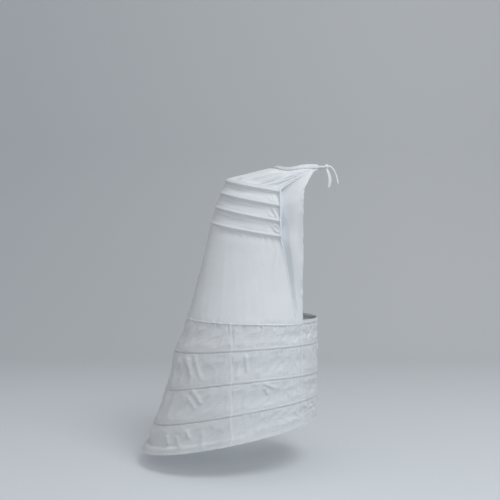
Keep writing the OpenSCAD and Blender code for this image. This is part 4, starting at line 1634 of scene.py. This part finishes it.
    def fell(self, name: str, first: Cloth, second: Cloth) -> None:
        """Narrow felled seam over the cut edges of two panels.

        Args:
            name: Name of the seam.
            first: Panel whose last column meets the seam.
            second: Panel whose first column meets it.
        """
        a, b = first.outside(self.fell_lift)[:, -1], second.outside(self.fell_lift)[:, 0]
        a_way = unit(first.grid[:, -3] - first.grid[:, -1])
        b_way = unit(second.grid[:, 2] - second.grid[:, 0])
        columns = [a + a_way * self.fell_half, a + a_way * self.fell_half / 2, a, b,
                   b + b_way * self.fell_half / 2, b + b_way * self.fell_half]
        strip = sheet(name, np.stack(columns, axis=1), self.cloth, SKIRT_MIDDLE)
        dress(strip.obj, FELL)
        self.seams += [strip.line(LAWN_LIFT, np.s_[:, column]) for column in (1, -2)]

    def hem(self, name: str, panel: Cloth) -> None:
        """Doubled cloth of the hem, laid over the roll below the last hoop.

        Args:
            name: Name of the hem.
            panel: Panel whose last rows it covers.
        """
        down = row_way(panel.grid)
        first = int(np.searchsorted(down, down[-1] - self.hem_w))
        strip = sheet(name, panel.outside(self.hem_lift)[first:-1], self.cloth, SKIRT_MIDDLE)
        dress(strip.obj, FELL)

    def build(self) -> None:
        """Makes the four panels, their felled seams and their hems."""
        made = [self.panel(panel, columns) for panel, columns in self.panel_columns]
        right, back, left, front = made
        for name, first, second in (("back_seam_right", right, back), ("back_seam_left", back, left),
                                    ("front_seam_left", left, front), ("front_seam_right", front, right)):
            self.fell(name, first, second)
        for name, panel in zip(("right", "back", "left", "front"), made):
            self.hem(f"hem_{name}", panel)


@dataclass
class Hoops:
    """Five full hoops of flat spring steel, their crimped sleeves and their casing tapes."""

    shape: SkirtShape
    steel: float = 1.0
    crimp: float = 0.4
    hoop_w: float = 5.0
    hoop_out: float = 1.35
    sleeve_l: float = 24.0
    casing_w: float = 13.0
    casing_out: float = -0.5
    tape: float = 0.7
    joint_gap: float = 1.0
    joint_share: float = 0.375
    casing_sink: float = 0.5
    casing_pucker: Wave = Wave(0.4, 2.5, 1.0, 90)

    def joint_turn(self, k: int) -> float:
        """Turn at which a hoop's ends meet, on the left side."""
        foot = self.shape.turn_at(k, self.shape.foot_x)
        return float(mix(foot, self.shape.turn_at(k, self.shape.back_seam_x), self.joint_share))

    def span(self, k: int, length: float) -> float:
        """Turn that a length takes at a hoop's joint."""
        turns = self.joint_turn(k) + np.array([-0.5, 0.5])
        a, b = self.shape.point(k, turns, self.hoop_out)
        return length / float(np.linalg.norm(b - a))

    def hoop(self, k: int) -> None:
        """Flat steel of one hoop, open at its joint."""
        start = self.joint_turn(k)
        half = self.span(k, self.joint_gap) / 2
        turns = np.linspace(start + half, start + 360.0 - half, 240)
        drops = np.linspace(-0.5, 0.5, 5) * self.hoop_w
        rows = [self.shape.wall(k, drop, turns, self.hoop_out) for drop in drops]
        steel = sheet(f"skirt_hoop_{k + 1}_steel", np.stack(rows), self.steel, SKIRT_MIDDLE)
        dress(steel.obj, STEEL, f"skirt_hoop_{k + 1}")

    def sleeve(self, k: int) -> None:
        """Crimped sleeve over one hoop's joint."""
        half = self.span(k, self.sleeve_l) / 2
        turns = self.joint_turn(k) + np.linspace(-half, half, 13)
        rows = [self.shape.wall(k, -z, turns, self.hoop_out + out)
                for out, z in crimp_section(self.hoop_w, self.steel, self.crimp)]
        sleeve = sheet(f"hoop_sleeve_{k + 1}_crimped", np.stack(rows), self.crimp, SKIRT_MIDDLE)
        dress(sleeve.obj, CRIMP, f"hoop_sleeve_{k + 1}")

    def casing(self, k: int) -> None:
        """Tape sewn over one hoop on the inside of the skirt.

        Args:
            k: Number of the hoop.
        """
        turns = np.linspace(360.0, 0.0, 240, endpoint=False)
        rows = []
        for s in np.linspace(-0.5, 0.5, 7):
            pucker = 0.6 + self.casing_pucker.swells(turns, 4.0 * s, k)
            sink = self.casing_sink * (1.0 - (2.0 * s) ** 2) * pucker
            rows.append(self.shape.wall(k, s * self.casing_w, turns, self.casing_out - sink))
        tape = sheet(f"hoop_casing_{k + 1}_tape", np.stack(rows), self.tape, SKIRT_MIDDLE, loop=True)
        dress(tape.obj, TAPE, f"hoop_casing_{k + 1}")

    def build(self) -> None:
        """Makes every hoop with its sleeve and its casing tape."""
        for k in range(self.shape.last + 1):
            self.hoop(k)
            self.sleeve(k)
            self.casing(k)


@dataclass(frozen=True)
class Lamp:
    """Soft square lamp: its place and its side in metres and its power in watts."""

    name: str
    at: Point
    size: float
    power: float


@dataclass(frozen=True)
class Studio:
    """Floor that sweeps up into a backdrop, soft lamps and the camera."""

    floor_z: float = -1.098
    front_y: float = -4.0
    bend_y: float = 2.2
    bend_r: float = 1.6
    half_width: float = 7.0
    wall_top: float = 5.0
    camera_at: Point = (-0.185, -2.9, -0.234)
    focal_px: float = 768.5
    picture_px: float = 500.0
    horizon_px: float = 230.0
    floor_tone: Tone = (0.54, 0.57, 0.60)
    # Painted shade: the wall's tones are darker than the floor's, and darker on the left than on the right.
    wall_right_painted_shade: Tone = (0.41, 0.425, 0.445)
    wall_left_painted_shade: Tone = (0.33, 0.35, 0.375)
    paper_glow: float = 0.15
    glow_tone: Tone = (0.94, 1.0, 1.07)
    painted_shade_x: Pair = (-2.2, 1.2)
    painted_shade_y: Pair = (-0.6, 4.0)
    lamps: tuple[Lamp, ...] = (
        Lamp("soft_top", (1.85, -2.3, 3.6), 2.2, 108.0), Lamp("soft_front", (0.9, -3.5, 0.7), 1.5, 23.0))
    lamp_tone: Tone = (0.965, 0.985, 1.0)
    lamp_aim: Point = (-0.2, 0.0, -0.5)
    room_glow: float = 0.48
    room_left: Tone = (0.97, 0.98, 0.98)
    room_right: Tone = (0.93, 0.94, 0.94)

    def sweep(self) -> None:
        """Floor and backdrop in one sheet, with painted shade that darkens the wall above the floor and more
        towards the left.
        """
        bend = np.linspace(-90.0, 0.0, 24)
        curve = zip(self.bend_y + self.bend_r * cosd(bend), self.floor_z + self.bend_r * (1.0 + sind(bend)))
        profile = [(self.front_y, self.floor_z), *curve, (self.bend_y + self.bend_r, self.wall_top)]
        points = np.array([(x, y, z) for y, z in profile for x in (-self.half_width, self.half_width)]) / MM
        quads = np.array([[2 * i, 2 * i + 1, 2 * i + 3, 2 * i + 2] for i in range(len(profile) - 1)])
        floor = write_mesh("studio_sweep", points, quads)
        made, shading, shader = new_material("studio_paper")
        shading.fill(shader, {"Roughness": 0.9, "Specular IOR Level": 0.1,
                              "Emission Color": (*self.glow_tone, 1.0)})
        where = shading.add("TexCoord")
        # Painted shade: across X the wall darkens towards the left, and along Y the paper darkens from the
        # floor up onto the wall.
        parts = shading.add("SeparateXYZ")
        side = shading.add("MapRange", {"From Min": self.painted_shade_x[0], "From Max": self.painted_shade_x[1]})
        painted_wall_shades = {"A": (*self.wall_left_painted_shade, 1.0), "B": (*self.wall_right_painted_shade, 1.0)}
        across = shading.add("Mix", painted_wall_shades, data_type="RGBA")
        depth = shading.add("MapRange", {"From Min": self.painted_shade_y[0], "From Max": self.painted_shade_y[1]},
                            interpolation_type="SMOOTHSTEP")
        paper = shading.add("Mix", {"A": (*self.floor_tone, 1.0)}, data_type="RGBA")
        shading.join(where, "Object", (parts, "Vector"))
        shading.join(parts, "X", (side, "Value"))
        shading.join(side, "Result", (across, "Factor"))
        shading.join(parts, "Y", (depth, "Value"))
        shading.join(depth, "Result", (paper, "Factor"))
        shading.join(across, "Result", (paper, "B"))
        shading.join(paper, "Result", (shader, "Base Color"))
        rays = shading.add("LightPath")
        glossy = shading.add("Math", operation="MAXIMUM")
        seen = shading.add("Math", operation="MAXIMUM")
        glow = shading.add("Math", {1: self.paper_glow}, operation="MULTIPLY")
        shading.join(rays, "Is Camera Ray", (glossy, 0))
        shading.join(rays, "Is Glossy Ray", (glossy, 1))
        shading.join(glossy, "Value", (seen, 0))
        shading.join(rays, "Is Transmission Ray", (seen, 1))
        shading.join(seen, "Value", (glow, 0))
        shading.join(glow, "Value", (shader, "Emission Strength"))
        floor.data.materials.append(made)

    def lights(self) -> None:
        """Soft lamp overhead, a weaker one beside the camera, and a room a little brighter on the left."""
        for lamp in self.lamps:
            light = bpy.data.lights.new(lamp.name, "AREA")
            light.size = lamp.size
            light.energy = lamp.power
            light.color = self.lamp_tone
            obj = bpy.data.objects.new(lamp.name, light)
            obj.location = lamp.at
            aim = Vector(self.lamp_aim) - obj.location
            obj.rotation_euler = aim.to_track_quat("-Z", "Y").to_euler()
            bpy.context.scene.collection.objects.link(obj)
        world = bpy.data.worlds.new("studio_room")
        world.use_nodes = True
        room = world.node_tree.nodes["Background"]
        shading = Shading(world.node_tree)
        shading.fill(room, {"Strength": self.room_glow})
        where = shading.add("TexCoord")
        parts = shading.add("SeparateXYZ")
        sides = shading.add("MapRange", {"From Min": -1.0})
        tones = shading.ramp((0.0, self.room_left), (1.0, self.room_right))
        shading.join(where, "Generated", (parts, "Vector"))
        shading.join(parts, "X", (sides, "Value"))
        shading.join(sides, "Result", (tones, "Fac"))
        shading.join(tones, "Color", (room, "Color"))
        bpy.context.scene.world = world

    def camera(self) -> None:
        """Level camera at the picture's height, shifted to its horizon."""
        data = bpy.data.cameras.new("picture_camera")
        data.sensor_width = 36.0
        data.lens = self.focal_px / self.picture_px * data.sensor_width
        data.shift_y = (self.horizon_px - self.picture_px / 2) / self.picture_px
        data.clip_end = 60.0
        obj = bpy.data.objects.new("picture_camera", data)
        obj.location = self.camera_at
        obj.rotation_euler = (math.radians(90.0), 0.0, 0.0)
        bpy.context.scene.collection.objects.link(obj)
        bpy.context.scene.camera = obj

    def build(self) -> None:
        """Sets up the camera, the sweep and the lamps."""
        self.camera()
        self.sweep()
        self.lights()
        bpy.context.scene.view_settings.view_transform = "Standard"


def main() -> None:
    """Builds the studio and every sub-assembly in order."""
    logging.basicConfig(level=logging.INFO, format="%(name)s %(message)s")
    Studio().build()
    waist, skirt_shape = Waist(), SkirtShape()
    WaistSet(waist).build()
    bustle = Bustle(BustleShape(waist))
    bustle.build()
    upper = UpperPanels(bustle, skirt_shape)
    upper.build()
    skirt = Skirt(skirt_shape)
    skirt.build()
    Hoops(skirt_shape).build()
    thread = Stitching()
    for name, runs in (("bustle_stitches", bustle.seams), ("panel_stitches", upper.seams),
                       ("skirt_stitches", skirt.seams)):
        dress(thread.sew(name, runs), COTTON)


if __name__ == "__main__":
    main()
